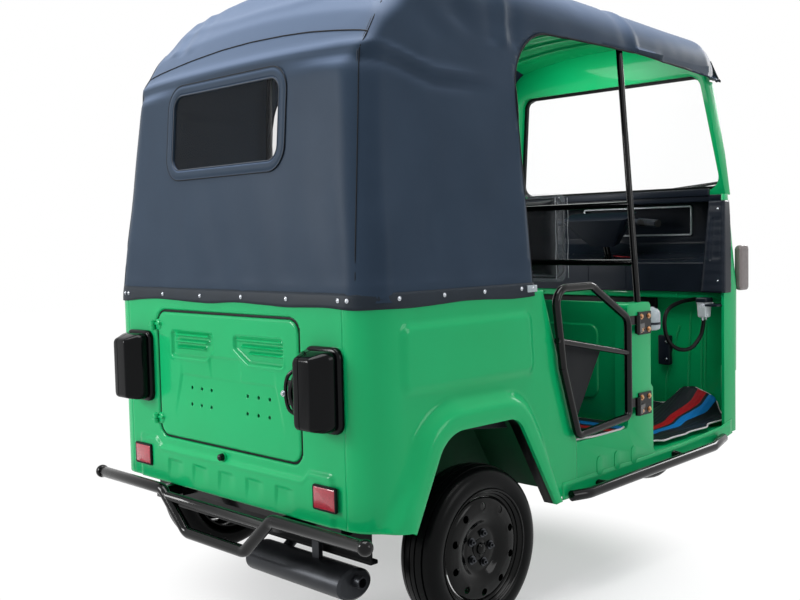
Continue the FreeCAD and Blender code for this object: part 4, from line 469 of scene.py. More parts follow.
def addDome(bm, centre, direction, radius, height, segments=12):
    turn = zAxis.rotation_difference(Vector(direction)).to_matrix().to_4x4()
    place = Matrix.Translation(Vector(centre)) @ turn @ Matrix.Diagonal((radius, radius, height, 1))
    bmesh.ops.create_uvsphere(bm, u_segments=segments, v_segments=8, radius=1, matrix=place)


# A washer and a hexagon head with its corners taken off
def addBolt(bm, centre, direction, radius=6 * mm, height=5 * mm):
    centre, direction = Vector(centre), Vector(direction).normalized()
    addRod(bm, centre - direction * mm, centre + direction * height * 0.3, radius * 1.5, 18)
    made = addRod(bm, centre + direction * height * 0.3, centre + direction * height, radius, 6)
    edges = [e for v in made for e in v.link_edges if e.is_manifold]
    bevelEdges(bm, list(set(edges)), radius * 0.12, 1)


# A bar that follows points: a curve with a round section, turned into a mesh
def tubePiece(name, points, radius, finish, body, smoothLine=True, cyclic=False, resolution=4):
    data = bpy.data.curves.new(name, "CURVE")
    data.dimensions = "3D"
    data.bevel_depth = radius
    data.bevel_resolution = resolution
    data.use_fill_caps = True
    data.resolution_u = 6
    line = data.splines.new("NURBS" if smoothLine else "POLY")
    line.points.add(len(points) - 1)
    for spot, place in zip(line.points, points):
        spot.co = (*place, 1)
    line.use_cyclic_u = cyclic
    if smoothLine:
        line.order_u = 3
        line.use_endpoint_u = not cyclic
    maker = bpy.data.objects.new(name, data)
    scene.collection.objects.link(maker)
    bpy.context.view_layer.update()
    mesh = bpy.data.meshes.new_from_object(maker.evaluated_get(bpy.context.evaluated_depsgraph_get()))
    bpy.data.objects.remove(maker)
    bm = bmesh.new()
    bm.from_mesh(mesh)
    bmesh.ops.remove_doubles(bm, verts=bm.verts[:], dist=0.01 * mm)
    faceOutward(bm)
    return newPiece(name, bm, finish, body, 50)


# Rings drawn from one rounded outline, each at an offset and a height, joined by extruding the last
def ringPoints(corners, offset, perCorner=6):
    centreU = sum(c[0] for c in corners) / len(corners)
    centreV = sum(c[1] for c in corners) / len(corners)
    result = []
    for u, v, r in corners:
        signU = 1 if u > centreU else -1
        signV = 1 if v > centreV else -1
        radius = max(r + offset, 0.2 * mm)
        cu = u + signU * (offset - radius)
        cv = v + signV * (offset - radius)
        start = math.atan2(signV, signU) - math.pi / 4
        for step in range(perCorner + 1):
            a = start + math.pi / 2 * step / perCorner
            result.append((cu + radius * math.cos(a), cv + radius * math.sin(a)))
    return result


def ringEdges(bm, ring):
    return [bm.edges.get(pair) or bm.edges.new(pair) for pair in zip(ring, ring[1:] + ring[:1])]


def ringSheet(bm, corners, stations, place, cap=False, closed=False):
    first = [bm.verts.new(place(u, v, stations[0][1])) for u, v in ringPoints(corners, stations[0][0])]
    ring, edges = first, ringEdges(bm, first)
    for offset, height in stations[1:]:
        made = set(vertsOf(bmesh.ops.extrude_edge_only(bm, edges=edges)["geom"]))
        ring = [next(e.other_vert(v) for e in v.link_edges if e.other_vert(v) in made) for v in ring]
        for vert, (u, v) in zip(ring, ringPoints(corners, offset)):
            vert.co = place(u, v, height)
        edges = ringEdges(bm, ring)
    if cap:
        bmesh.ops.contextual_create(bm, geom=edges)
    if closed:
        bmesh.ops.bridge_loops(bm, edges=edges + ringEdges(bm, first))


# A profile of (radius, x) turned about the X axis
def turnedPiece(bm, profile, centre, steps):
    verts = [bm.verts.new((x, 0, r)) for r, x in profile]
    edges = [bm.edges.new((verts[i], verts[i + 1])) for i in range(len(verts) - 1)]
    bmesh.ops.spin(bm, geom=verts + edges, cent=(0, 0, 0), axis=(1, 0, 0), dvec=(0, 0, 0), angle=math.tau,
                   steps=steps, use_merge=True, use_duplicate=False)
    bmesh.ops.remove_doubles(bm, verts=bm.verts[:], dist=0.02 * mm)
    faceOutward(bm)
    bmesh.ops.translate(bm, vec=Vector(centre), verts=bm.verts[:])


# Body panels

body = {"rearY": -1246 * mm, "halfWidth": 650 * mm, "cornerRadius": 110 * mm, "taperFromY": -515 * mm,
        "taperToY": 790 * mm, "frontHalfWidth": 612 * mm, "beltZ": 962 * mm, "skirtZ": 356 * mm,
        "wall": 12 * mm, "seamX": 540 * mm}
arch = {"rearFootY": -1145 * mm, "frontFootY": -530 * mm, "footZ": 318 * mm, "rearTopY": -1004 * mm,
        "frontTopY": -697 * mm, "topZ": 600 * mm, "rearRadius": 110 * mm, "frontRadius": 70 * mm,
        "face": 36 * mm, "reach": 94 * mm, "rise": 39 * mm, "footTaper": 0.4, "lip": 12 * mm,
        "turnIn": 13 * mm}
pad = {"rearY": -1150 * mm, "lowFrontY": -573 * mm, "topFrontY": -588 * mm, "lowZ": 706 * mm, "topZ": 914 * mm,
       "radius": 42 * mm, "slope": 30 * mm, "rise": 11 * mm}
doorEdge = {"lowY": -363 * mm, "lowZ": 470 * mm, "topY": -535 * mm, "sillZ": 318 * mm}


def sideX(y):
    share = min(1.0, max(0.0, (y - body["taperFromY"]) / (body["taperToY"] - body["taperFromY"])))
    return body["halfWidth"] + (body["frontHalfWidth"] - body["halfWidth"]) * share


# The body's plan as a line: s runs along the rear, round the corner and on along the right side
def planPoint(s):
    r = body["cornerRadius"]
    straight = body["seamX"]
    bend = r * math.pi / 2
    if s <= straight:
        return Vector((s, body["rearY"], 0)), Vector((0, -1, 0))
    if s <= straight + bend:
        a = (s - straight) / r
        out = Vector((math.sin(a), -math.cos(a), 0))
        return Vector((straight, body["rearY"] + r, 0)) + out * r, out
    y = body["rearY"] + r + s - straight - bend
    return Vector((sideX(y), y, 0)), Vector((1, 0, 0))


def planLength(y):
    return body["seamX"] + body["cornerRadius"] * math.pi / 2 + y - body["rearY"] - body["cornerRadius"]


def doorY(z):
    if z < doorEdge["lowZ"]:
        return doorEdge["lowY"]
    share = (z - doorEdge["lowZ"]) / (body["beltZ"] - doorEdge["lowZ"])
    return doorEdge["lowY"] + (doorEdge["topY"] - doorEdge["lowY"]) * share


def lineAt(y0, z0, y1, z1, z):
    return y0 + (y1 - y0) * (z - z0) / (z1 - z0)


def archCorners(grow=0.0):
    lowZ = -0.2
    rear = lineAt(arch["rearFootY"], arch["footZ"], arch["rearTopY"], arch["topZ"], lowZ)
    front = lineAt(arch["frontFootY"], arch["footZ"], arch["frontTopY"], arch["topZ"], lowZ)
    return [(rear - grow, lowZ, 0), (front + grow, lowZ, 0),
            (arch["frontTopY"] + grow, arch["topZ"] + grow, arch["frontRadius"] + grow),
            (arch["rearTopY"] - grow, arch["topZ"] + grow, arch["rearRadius"] + grow)]


archDistance = roundedOutline(archCorners())
padDistance = roundedOutline([(y, z, pad["radius"]) for y, z in (
    (pad["rearY"], pad["lowZ"]), (pad["lowFrontY"], pad["lowZ"]), (pad["topFrontY"], pad["topZ"]),
    (pad["rearY"], pad["topZ"]))])


def quarterHeight(y, z):
    away = max(0.0, archDistance(y, z))
    if y > -850 * mm:
        away /= 1 - arch["footTaper"] * smooth(-0.56, -0.31, -z)
    share = min(1.0, max(0.0, (away - arch["face"]) / (arch["reach"] - arch["face"])))
    flare = arch["rise"] * 0.5 * (1 + math.cos(math.pi * share ** 1.1))
    flare *= smooth(body["rearY"] + 20 * mm, body["rearY"] + 110 * mm, y)
    raised = pad["rise"] * (1 - smooth(-pad["slope"], 0, padDistance(y, z)))
    roll = 4 * mm * bell(away, 0, 7 * mm)  # the edge of the opening is rolled back
    return max(flare, raised) - roll


def makeQuarter():
    cell = 6.5 * mm
    sLow, sHigh = body["seamX"], planLength(doorEdge["lowY"])
    rows = round((body["beltZ"] - doorEdge["sillZ"]) / cell)
    bm = bmesh.new()
    columns = round((sHigh - sLow) / cell)
    bmesh.ops.create_grid(bm, x_segments=columns, y_segments=rows, size=0.5)
    footS = planLength(arch["rearFootY"])
    sillDrop = doorEdge["sillZ"] - 5 * mm - body["skirtZ"]
    for vert in bm.verts:
        share, up = vert.co.x + 0.5, vert.co.y + 0.5
        lowZ = body["skirtZ"]
        for passNumber in range(2):  # the second time with the lower edge dropped to the sill ahead of the arch
            z = lowZ + (body["beltZ"] - lowZ) * up
            s = sLow + (planLength(doorY(z)) - sLow) * share
            lowZ = body["skirtZ"] + sillDrop * smooth(footS - 2 * mm, footS + 60 * mm, s)
        vert.co = Vector((s, z, 0))

    def hole(s, z):
        return archDistance(planPoint(s)[0].y, z)

    cutHole(bm, hole, cell)
    border = [e for e in bm.edges if e.is_boundary and all(abs(hole(v.co.x, v.co.y)) < 2 * mm for v in e.verts)]
    for vert in bm.verts:
        place, out = planPoint(vert.co.x)
        z = vert.co.y
        side = smooth(0.2, 0.9, out.x)
        vert.co = place + out * quarterHeight(place.y, z) * side + zAxis * z
    turned = bmesh.ops.extrude_edge_only(bm, edges=border)["geom"]
    for vert in vertsOf(turned):
        vert.co.x -= arch["lip"]
    rim = [g for g in turned if isinstance(g, bmesh.types.BMEdge)]
    turned = bmesh.ops.extrude_edge_only(bm, edges=rim)["geom"]
    for vert in vertsOf(turned):
        vert.co.x = body["halfWidth"] - arch["turnIn"]
    for face in [g for g in turned if isinstance(g, bmesh.types.BMFace)]:
        face.material_index = 1  # painted shade: the turned-in faces under the rolled edge take the black chassis finish
    faceOutward(bm)
    middle = min(bm.faces, key=lambda f: (f.calc_center_median() - Vector((0.65, -0.9, 0.8))).length)
    if middle.normal.x < 0:
        bmesh.ops.reverse_faces(bm, faces=bm.faces[:])
    return bm


def finishPressing(name, bm, thickness, node, carrier, inside=None):
    piece = newPiece(name, bm, "green", carrier, 60)
    if inside:
        piece.data.materials.append(finishes[inside])
    addWall(piece, thickness)
    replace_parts(piece, node)


def makeQuarters():
    right = makeQuarter()
    left = right.copy()
    for vert in left.verts:
        vert.co.x = -vert.co.x
    bmesh.ops.reverse_faces(left, faces=left.faces[:])
    for label, bm in (("Right", right), ("Left", left)):
        finishPressing("quarterPanel" + label, bm, body["wall"] * 0.5, "quarter_panel_" + label.lower(), "chassis",
                       "frame")


makeQuarters()
print("quarter panels are made")

hatch = {"left": -370 * mm, "right": 360 * mm, "low": 505 * mm, "top": 915 * mm, "radius": 45 * mm, "gap": 5.5 * mm,
         "pocketDepth": 8 * mm, "plateDepth": 5 * mm, "cell": 4 * mm,
         "louvresLeft": [(-264, -78, 838), (-262, -84, 819), (-258, -100, 800)],
         "louvresRight": [(66, 280, 840), (86, 281, 821), (122, 283, 802)],
         "holeColumns": (-183, -130, -77, 108, 161, 214), "holeRows": (624, 676), "holeRadius": 6 * mm}
hatchOpening = rectangleCorners(hatch["left"], hatch["right"], hatch["low"], hatch["top"], hatch["radius"])
hatchEdge = rectangleCorners(hatch["left"] + hatch["gap"], hatch["right"] - hatch["gap"], hatch["low"] + hatch["gap"],
                             hatch["top"] - hatch["gap"], hatch["radius"] - hatch["gap"])
ledge = {"outerX": 500 * mm, "outerZ": 488 * mm, "stepX": 397 * mm, "lowZ": 462 * mm, "rise": 6.5 * mm,
         "arches": 5, "pitch": 140 * mm, "archWidth": 76 * mm, "archTop": 434 * mm}


def inMm(points):
    return [(u * mm, v * mm, r * mm) for u, v, r in points]


leftPocket = roundedOutline(inMm([(-288, 854, 14), (-54, 854, 14), (-56, 800, 8), (-92, 769, 14), (-288, 769, 14)]))
rightPocket = roundedOutline(inMm([(50, 854, 14), (287, 854, 14), (287, 771, 14), (122, 771, 14), (50, 812, 10)]))
plateField = roundedOutline(inMm([(-234, 716, 10), (244, 716, 10), (292, 560, 30), (-282, 560, 30)]))
middleStep = roundedOutline(inMm([(-78, 781, 8), (80, 781, 8), (80, 690, 8), (-78, 690, 8)]))


def hatchHeight(x, z):
    pocket = min(leftPocket(x, z), rightPocket(x, z))
    down = hatch["pocketDepth"] * (1 - smooth(-7 * mm, 1 * mm, pocket))
    lip = 2.2 * mm * bell(pocket, 4 * mm, 4 * mm) * (1 - smooth(780 * mm, 815 * mm, z))
    louvre = 0.0
    for low, high, level in hatch["louvresLeft"] + hatch["louvresRight"]:
        side = smooth(low * mm - 5 * mm, low * mm + 5 * mm, x) * (1 - smooth(high * mm - 5 * mm, high * mm + 5 * mm, x))
        above = z - level * mm
        rise = 1 - smooth(0, 9 * mm, abs(above - 0.5 * mm)) if above > 0 else 1 - smooth(0, 4 * mm, -above)
        louvre = max(louvre, side * rise)
    slope = smooth(0, 1, (772 * mm - z) / (772 * mm - 716 * mm)) if z > 716 * mm else 1.0
    fade = smooth(556 * mm, 700 * mm, z)
    wide = 1 - smooth(-4 * mm, 8 * mm, plateField(x, min(z, 714 * mm)))
    if z <= 716 * mm:
        plate = hatch["plateDepth"] * wide * fade
    else:
        plate = hatch["plateDepth"] * 0.55 * slope * wide
    if -0.1 < x < 0.1:
        plate = max(plate, hatch["plateDepth"] * (1 - smooth(-3 * mm, 3 * mm, middleStep(x, z))) * 0.8)
    edge = 3.5 * mm * (1 - smooth(0, 6 * mm, -hatchEdgeDistance(x, z)))
    return -down - plate - edge + lip + louvre * (hatch["pocketDepth"] + 4.5 * mm)


def ledgeHeight(x, z):
    half = abs(x)
    stepShare = smooth(ledge["stepX"] - 40 * mm, ledge["stepX"], half)
    topZ = ledge["lowZ"] + (ledge["outerZ"] - ledge["lowZ"]) * stepShare
    above = z - topZ
    raised = 1 - smooth(-2 * mm, 13 * mm, above)
    raised *= 1 - smooth(ledge["outerX"] - 22 * mm, ledge["outerX"], half)
    bead = 3.2 * mm * bell(above, 3 * mm, 8 * mm)
    bead *= 1 - smooth(ledge["outerX"] - 24 * mm, ledge["outerX"] - 6 * mm, half)
    hollow = 0.0
    for index in range(ledge["arches"]):
        middle = (index - (ledge["arches"] - 1) / 2) * ledge["pitch"]
        across = x - middle
        inside = smooth(-ledge["archWidth"] / 2 - 3 * mm, -ledge["archWidth"] / 2 + 3 * mm, across)
        inside *= 1 - smooth(ledge["archWidth"] / 2 - 34 * mm, ledge["archWidth"] / 2 + 16 * mm, across)
        inside *= 1 - smooth(ledge["archTop"] - 4 * mm, ledge["archTop"] + 2 * mm, z)
        inside *= smooth(360 * mm, 420 * mm, z)
        hollow = max(hollow, inside)
    return ledge["rise"] * raised + bead - 5.5 * mm * hollow


hatchEdgeDistance = roundedOutline(hatchEdge)
hatchOpeningDistance = roundedOutline(hatchOpening)


def finishRear(name, bm, thickness, node, carrier):
    for vert in bm.verts:
        x, z, h = vert.co
        vert.co = Vector((x, body["rearY"] - h, z))
    faceOutward(bm)
    bm.faces.ensure_lookup_table()
    if bm.faces[0].normal.y > 0:
        bmesh.ops.reverse_faces(bm, faces=bm.faces[:])
    finishPressing(name, bm, thickness, node, carrier)


def makeRearPanel():
    cell = 5 * mm
    bm = flatGrid(-body["seamX"], body["seamX"], body["skirtZ"], body["beltZ"], cell)
    cutHole(bm, hatchOpeningDistance, cell)
    for vert in bm.verts:
        turnIn = 7 * mm * (1 - smooth(0, 5 * mm, hatchOpeningDistance(vert.co.x, vert.co.y)))
        vert.co.z = ledgeHeight(vert.co.x, vert.co.y) - turnIn
    finishRear("rearPanelPressing", bm, body["wall"] * 0.4, "rear_panel", "chassis")


def makeHatch():
    cell = hatch["cell"]
    bm = flatGrid(hatch["left"], hatch["right"], hatch["low"], hatch["top"], cell)

    def outside(x, z):
        return -hatchEdgeDistance(x, z)

    cutHole(bm, outside, cell)
    for x in hatch["holeColumns"]:
        for z in hatch["holeRows"]:
            spot = Vector((x * mm, z * mm, 0))
            near = [v for v in bm.verts if (v.co - spot).length < hatch["holeRadius"] * 2.2]
            centre = min(near, key=lambda v: (v.co - spot).length)
            shift = spot - centre.co
            for vert in near:
                vert.co += shift
            ring = {v for f in centre.link_faces for v in f.verts if v != centre}
            for vert in ring:
                vert.co = spot + (vert.co - spot).normalized() * hatch["holeRadius"]
            bmesh.ops.delete(bm, geom=[centre], context="VERTS")
    for vert in bm.verts:
        vert.co.z = hatchHeight(vert.co.x, vert.co.y)
    finishRear("hatchPressing", bm, body["wall"] * 0.35, "hatch_panel", "rear_hatch")


makeRearPanel()
makeHatch()
print("rear panel and hatch are made")


# Rubber seal behind the hatch's gap, its hinges, and the lock knob below it
def makeHatchFittings():
    bm = bmesh.new()
    ringSheet(bm, hatchOpening, [(-11 * mm, 9 * mm), (-11 * mm, 5 * mm), (-2 * mm, 5 * mm), (3 * mm, 5 * mm)],
              lambda u, v, h: Vector((u, body["rearY"] + h, v)))
    faceOutward(bm)
    solidPiece("hatchSeal", bm, 1.5 * mm, "rubber", "chassis")
    for carrier, side, low, high in (("chassis", -1, -14.7 * mm, -0.3 * mm), ("rear_hatch", 1, 1.03 * mm, 14 * mm)):
        bm = bmesh.new()
        for z in (560 * mm, 865 * mm):  # each hinge is a knuckle, a domed leaf and a tongue
            spot = Vector((-379 * mm, body["rearY"], z))
            knuckle = spot - yAxis * 10 * mm
            addRod(bm, knuckle + zAxis * low, knuckle + zAxis * high, 8.5 * mm, 20)
            leafZ = z + (1.46 * mm if side > 0 else -1.4 * mm)
            addDome(bm, (spot.x + side * 17 * mm, spot.y + 1 * mm, leafZ), (0, -1, 0), 19 * mm, 7 * mm, 24)
            ends = sorted((spot.x, spot.x + side * 34 * mm))
            tongue = sorted((side * 0.6 * mm, side * 9 * mm))
            addBlock(bm, (ends[0], spot.y - 9 * mm, z + tongue[0]), (ends[1], spot.y - 1 * mm, z + tongue[1]),
                     2.5 * mm, 3)
        newPiece("hatchHinge_" + carrier, bm, "green", carrier)
    bm = bmesh.new()
    spot = Vector((-17 * mm, body["rearY"], 480 * mm))
    addRod(bm, spot, spot - yAxis * 5 * mm, 15 * mm, 24)
    newPiece("lockSeat", bm, "green", "chassis")
    bm = bmesh.new()
    addRod(bm, spot - yAxis * 4 * mm, spot - yAxis * 17 * mm, 12 * mm, 24, 10 * mm)
    addDome(bm, spot - yAxis * 16 * mm, (0, -1, 0), 10 * mm, 5 * mm, 20)
    newPiece("lockKnob", bm, "enamel", "chassis")


# The black pull beside the right lamp, with its bolt
def makeHatchPull():
    face = body["rearY"] - 15 * mm
    points = [Vector((x * mm, y, z * mm)) for x, y, z in
              ((350, face + 10 * mm, 774), (330, face, 764), (315, face, 738), (312, face, 705), (318, face, 674),
               (332, face, 655), (350, face + 10 * mm, 648))]
    tubePiece("hatchPull", points, 5.5 * mm, "enamel", "rear_hatch")
    bm = bmesh.new()
    addBolt(bm, (310 * mm, face - 5 * mm, 706 * mm), (0, -1, 0), 6 * mm, 7 * mm)
    newPiece("hatchPullBolt", bm, "zinc", "rear_hatch", 36)


makeHatchFittings()
makeHatchPull()


# Lamps and reflectors on the rear face
tailLamp = {"lowX": 395 * mm, "highX": 541 * mm, "lowZ": 612 * mm, "highZ": 845 * mm, "radius": 30 * mm,
            "depth": 85 * mm, "split": 0.36, "groove": 4.5 * mm, "waistZ": 0.73, "narrow": 0.40}
reflector = {"lowX": 414 * mm, "highX": 512 * mm, "lowZ": 398 * mm, "highZ": 468 * mm, "radius": 7 * mm,
             "stand": 6 * mm}


def cornersOf(facts):
    return rectangleCorners(facts["lowX"], facts["highX"], facts["lowZ"], facts["highZ"], facts["radius"])


def lampBody(bm, mirror, lowShare, highShare, shrink, depth):
    lowX, highX = tailLamp["lowX"], tailLamp["highX"]

    def place(u, v, h):
        share = (u - lowX) / (highX - lowX)
        clipped = min(highShare, max(lowShare, share))
        narrow = 1 - tailLamp["narrow"] * smooth(0.25, 1.0, h / depth)
        x = lowX + (highX - lowX) * (0.5 + (clipped - 0.5) * narrow)
        if v < tailLamp["waistZ"]:
            z = v + 6 * mm * smooth(0.5, 1.0, h / depth)
        else:
            z = v - 14 * mm * smooth(0.30, 1.0, h / depth)
        return Vector((mirror * x, body["rearY"] - h, z))

    sides = ((-8, 0.30), (-8, 0.55), (-8.6, 0.80), (-10, 0.93), (-14, 0.985), (-20, 1))  # mm inwards, share of depth
    stations = [(-12 * mm - shrink, 14 * mm)] + [(inwards * mm - shrink, depth * share) for inwards, share in sides]
    ringSheet(bm, cornersOf(tailLamp), stations, place, cap=True)


def makeTailLamps():
    for mirror in (-1, 1):
        bm = bmesh.new()
        base = [(0, 0.2 * mm), (0, 10 * mm), (-2 * mm, 14 * mm), (-6 * mm, 16 * mm), (-14 * mm, 16 * mm)]
        ringSheet(bm, cornersOf(tailLamp), base, lambda u, v, h: Vector((mirror * u, body["rearY"] - h, v)), cap=True)
        lampBody(bm, mirror, 0.0, 1.0, 3 * mm, tailLamp["depth"] - 4 * mm)
        split = tailLamp["split"] if mirror > 0 else 1 - tailLamp["split"]  # both grooves lie to the left
        grooveShare = tailLamp["groove"] / (tailLamp["highX"] - tailLamp["lowX"]) / 2
        lampBody(bm, mirror, 0.0, split - grooveShare, 0.0, tailLamp["depth"])
        lampBody(bm, mirror, split + grooveShare, 1.0, 0.0, tailLamp["depth"])
        bmesh.ops.remove_doubles(bm, verts=bm.verts[:], dist=0.05 * mm)
        bmesh.ops.dissolve_degenerate(bm, dist=0.05 * mm, edges=bm.edges[:])
        faceOutward(bm)
        piece = newPiece("tailLamp" + sideName[mirror], bm, "gloss", "chassis", 50)
        if mirror > 0:
            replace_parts(piece, "tail_lamps")


def makeReflectors():
    for mirror in (-1, 1):
        bm = bmesh.new()
        corners = cornersOf(reflector)

        def place(u, v, h):
            return Vector((mirror * u, body["rearY"] - reflector["stand"] - h, v))

        ringSheet(bm, corners, [(0, 0.2 * mm), (0, 6 * mm), (-2 * mm, 8 * mm), (-5 * mm, 8 * mm), (-6 * mm, 5 * mm),
                                (-10 * mm, 5 * mm)], place, cap=True)
        faceOutward(bm)
        newPiece("reflectorRim" + sideName[mirror], bm, "rubber", "chassis")
        bm = bmesh.new()
        ringSheet(bm, corners, [(-5 * mm, 4 * mm), (-6 * mm, 7.5 * mm), (-8 * mm, 8.6 * mm)], place, cap=True)
        faceOutward(bm)
        lens = newPiece("reflectorLens" + sideName[mirror], bm, "reflector", "chassis")
        if mirror > 0:
            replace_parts(lens, "reflectors")


makeTailLamps()
makeReflectors()
print("rear lamps are made")


# The canopy: a skin taken off the modelled form, pulled over its bows, with seams, hem, piping and rivets
canopy = {"flatLength": 4.3, "fullness": 0.86, "cell": 14 * mm, "wall": 3 * mm, "rearY": -1246 * mm,
          "bowY": -1190 * mm, "bowZ": 1632 * mm, "lowZ": 962 * mm, "frontY": 835 * mm, "halfWidth": 650 * mm,
          "bowHalf": 575 * mm, "archHeight": 0.81, "cuts": (91, 149, 60),
          "outer": (0.80, -1.42, 2.16), "inner": (0.26, -0.86, 1.58)}  # boxes that the rays run between
roofFolds = ((5.0, -0.612, 0.018), (-3.5, -0.56, 0.03), (-3.5, -0.665, 0.035), (4.0, 0.12, 0.02),
             (-2.5, 0.06, 0.03), (3.0, 0.74, 0.02))  # mm outwards, and where and how wide along Y
canopyWindow = [(-306 * mm, 1348.6 * mm, 50 * mm), (254 * mm, 1348.6 * mm, 50 * mm),
                (254 * mm, 1600.8 * mm, 50 * mm), (-306 * mm, 1600.8 * mm, 50 * mm)]
doorArch = [(-578 * mm, 0.3, 0), (0.9, 0.3, 0), (0.9, 1720.2 * mm, 0), (120 * mm, 1752 * mm, 500 * mm),
            (-578 * mm, 1752 * mm, 190 * mm)]
windowDistance = roundedOutline(canopyWindow)
doorDistance = roundedOutline(doorArch)


def surfaceOf(node):
    bm = bmesh.new()
    bm.from_mesh(nodes[node].data)
    bmesh.ops.remove_doubles(bm, verts=bm.verts[:], dist=0.02 * mm)
    tree = BVHTree.FromBMesh(bm)
    bm.free()
    return tree


canopySkin = surfaceOf("canopy")


def leanY(z):
    return lineAt(canopy["rearY"], canopy["lowZ"], canopy["bowY"], canopy["bowZ"], z)


def leanX(z):
    return lineAt(canopy["halfWidth"], 0, canopy["bowHalf"], canopy["archHeight"], z - canopy["lowZ"])


# How far the cloth stands off its form: bows push it out, tucks and sags pull it in
def clothLift(p):
    x, y, z = abs(p.x), p.y, p.z
    behind = 1 - smooth(-0.90, -0.62, y)
    bow = 1.645 - 0.010 * smooth(0.45, 0.62, x) - 0.05 * smooth(-1.15, -0.90, y) + 0.006 * math.cos(x * 2.2)
    lift = 6.0 * bell(z, bow, 0.014) * behind
    lift -= 5.0 * bell(z, bow - 0.030, 0.020) * behind * (0.5 + 0.5 * smooth(0.05, 0.45, x))
    crease = -1.058 + 0.03 * smooth(0.1, 0.45, x)
    if z > 1.70:
        lift += 4.0 * bell(y, crease, 0.016) * (1 - smooth(0.40, 0.56, x))
        lift -= 3.0 * bell(y, crease + 0.05, 0.04) * (1 - smooth(0.40, 0.56, x))
        lift += sum(out * bell(y, middle, width) for out, middle, width in roofFolds)
    lift += 2.6 * noise.noise(Vector((p.x * 2.1, p.y * 2.1, p.z * 1.3)))
    upright = 1 - smooth(1.50, 1.62, z)
    low = 1 - smooth(1.05, 1.42, z)
    slack = noise.noise(Vector((p.x * 9 + p.z * 2.5, p.y * 9 + p.z * 2.5, p.z * 1.6)))
    lift += (1.2 + 1.6 * low) * slack * upright
    corner = bell(x, 0.60, 0.09) * (1 if y < -1.0 else 0.4)
    tuck = math.sin((x * 9.0 - y * 7.0 + z * 4.5) * math.tau * 0.55)
    lift += 2.6 * tuck * corner * bell(z, 1.18, 0.16)
    shoulder = smooth(1.66, 1.74, z) * (1 - smooth(1.86, 1.93, z)) * smooth(0.40, 0.50, x)
    lift += 3.2 * math.sin((y * 4.6 + z * 6.0 - x * 2.0) * math.tau) * shoulder * bell(y, -0.86, 0.17)
    lift += 1.6 * noise.noise(Vector((p.x * 3, p.y * 12, p.z * 10))) * shoulder
    if p.x < -0.25 and z > 1.75 and y < -0.9:
        lift += 2.4 * math.sin((p.x * 16 + p.y * 10) * math.tau * 0.6) * bell(p.x, -0.42, 0.10)
    lift += bell(z, 1.000, 0.014) * (1.6 + 0.8 * math.sin(p.x * 31 + p.y * 37))  # gathered above the hem
    edge = min(1.0, max(0.0, (z - 0.962) / 0.02)) * smooth(0, 0.02, abs(doorDistance(y, z)))
    return lift * mm * edge


# A point of a box is carried inwards until it meets the modelled form, or the lean of an opening
def canopyPoint(u, v, w):
    ox, oy, oz = canopy["outer"]
    ix, iy, iz = canopy["inner"]
    lowZ = canopy["lowZ"] + 0.4 * mm
    front = canopy["frontY"] - 0.4 * mm
    along = (v + 1) / 2
    start = Vector((ox * u, oy + (front - oy) * along, lowZ + (oz - lowZ) * w))
    end = Vector((ix * u, iy + (front - iy) * along, lowZ + (iz - lowZ) * w))
    ray = end - start
    hit, normal, index, far = canopySkin.ray_cast(start, ray.normalized(), ray.length)
    if hit is not None and abs(normal.dot(ray.normalized())) >= 0.02:
        return hit
    if v <= -0.999:
        t = (leanY(start.z) - start.y) / (end.y - start.y)
    else:
        t = (leanX(min(start.z, 1.74)) - abs(start.x)) / (abs(end.x) - abs(start.x))
    place = start + ray * min(1.0, max(0.0, t))
    return canopySkin.find_nearest(place)[0] if place.y > 0.3 else place


def makeCanopy():
    bm = bmesh.new()
    bmesh.ops.create_cube(bm, size=2)
    gone = [f for f in bm.faces if f.normal.z < -0.5 or f.normal.y > 0.5]
    bmesh.ops.delete(bm, geom=gone, context="FACES")
    for axis, cuts in enumerate(canopy["cuts"]):
        edges = [e for e in bm.edges if abs(abs((e.verts[1].co - e.verts[0].co).normalized()[axis]) - 1) < 0.01]
        bmesh.ops.subdivide_edges(bm, edges=edges, cuts=cuts, use_grid_fill=True)
    for vert in bm.verts:
        u, v, w = vert.co
        vert.co = canopyPoint(u, v, (w + 1) / 2)

    def openings(c):
        return ((1, doorDistance, abs(c.x) > 0.38), (0, windowDistance, c.y < -1.1))

    def isOpen(c):
        return any(near and distance(c[axis], c.z) < 0 for axis, distance, near in openings(c))

    bmesh.ops.delete(bm, geom=[f for f in bm.faces if isOpen(f.calc_center_median())], context="FACES")
    bmesh.ops.delete(bm, geom=[v for v in bm.verts if not v.link_faces], context="VERTS")
    for vert in bm.verts:
        if not vert.is_boundary:
            continue
        c = vert.co
        for axis, distance, near in openings(c):
            if not near or abs(distance(c[axis], c.z)) > canopy["cell"] * 1.7:
                continue
            p, q = ontoOutline(distance, c[axis], c.z)
            c[axis], c.z = p, q
            if axis == 1:
                c.x = canopySkin.find_nearest(Vector((math.copysign(0.7, c.x), p, q)))[0].x
            else:
                c.y = leanY(q)
    faceOutward(bm)
    bm.normal_update()
    top = max(bm.faces, key=lambda f: f.calc_center_median().z)
    if top.normal.z < 0:
        bmesh.ops.reverse_faces(bm, faces=bm.faces[:])
        bm.normal_update()
    for step in range(2):
        bmesh.ops.smooth_vert(bm, verts=[v for v in bm.verts if not v.is_boundary], factor=0.3, use_axis_x=True,
                              use_axis_y=True, use_axis_z=True)
    bm.normal_update()
    shifts = [(v, v.normal * clothLift(v.co)) for v in bm.verts]
    for vert, shift in shifts:
        vert.co += shift
    piece = newPiece("canopyCloth", bm, "vinyl", "chassis", 70)
    addWall(piece, canopy["wall"])
    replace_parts(piece, "canopy")
    return piece


canopyPiece = makeCanopy()
print("canopy is made")


# Everything sewn to or laid on the cloth finds its place on the finished skin
clothTree = BVHTree.FromObject(canopyPiece, bpy.context.evaluated_depsgraph_get())


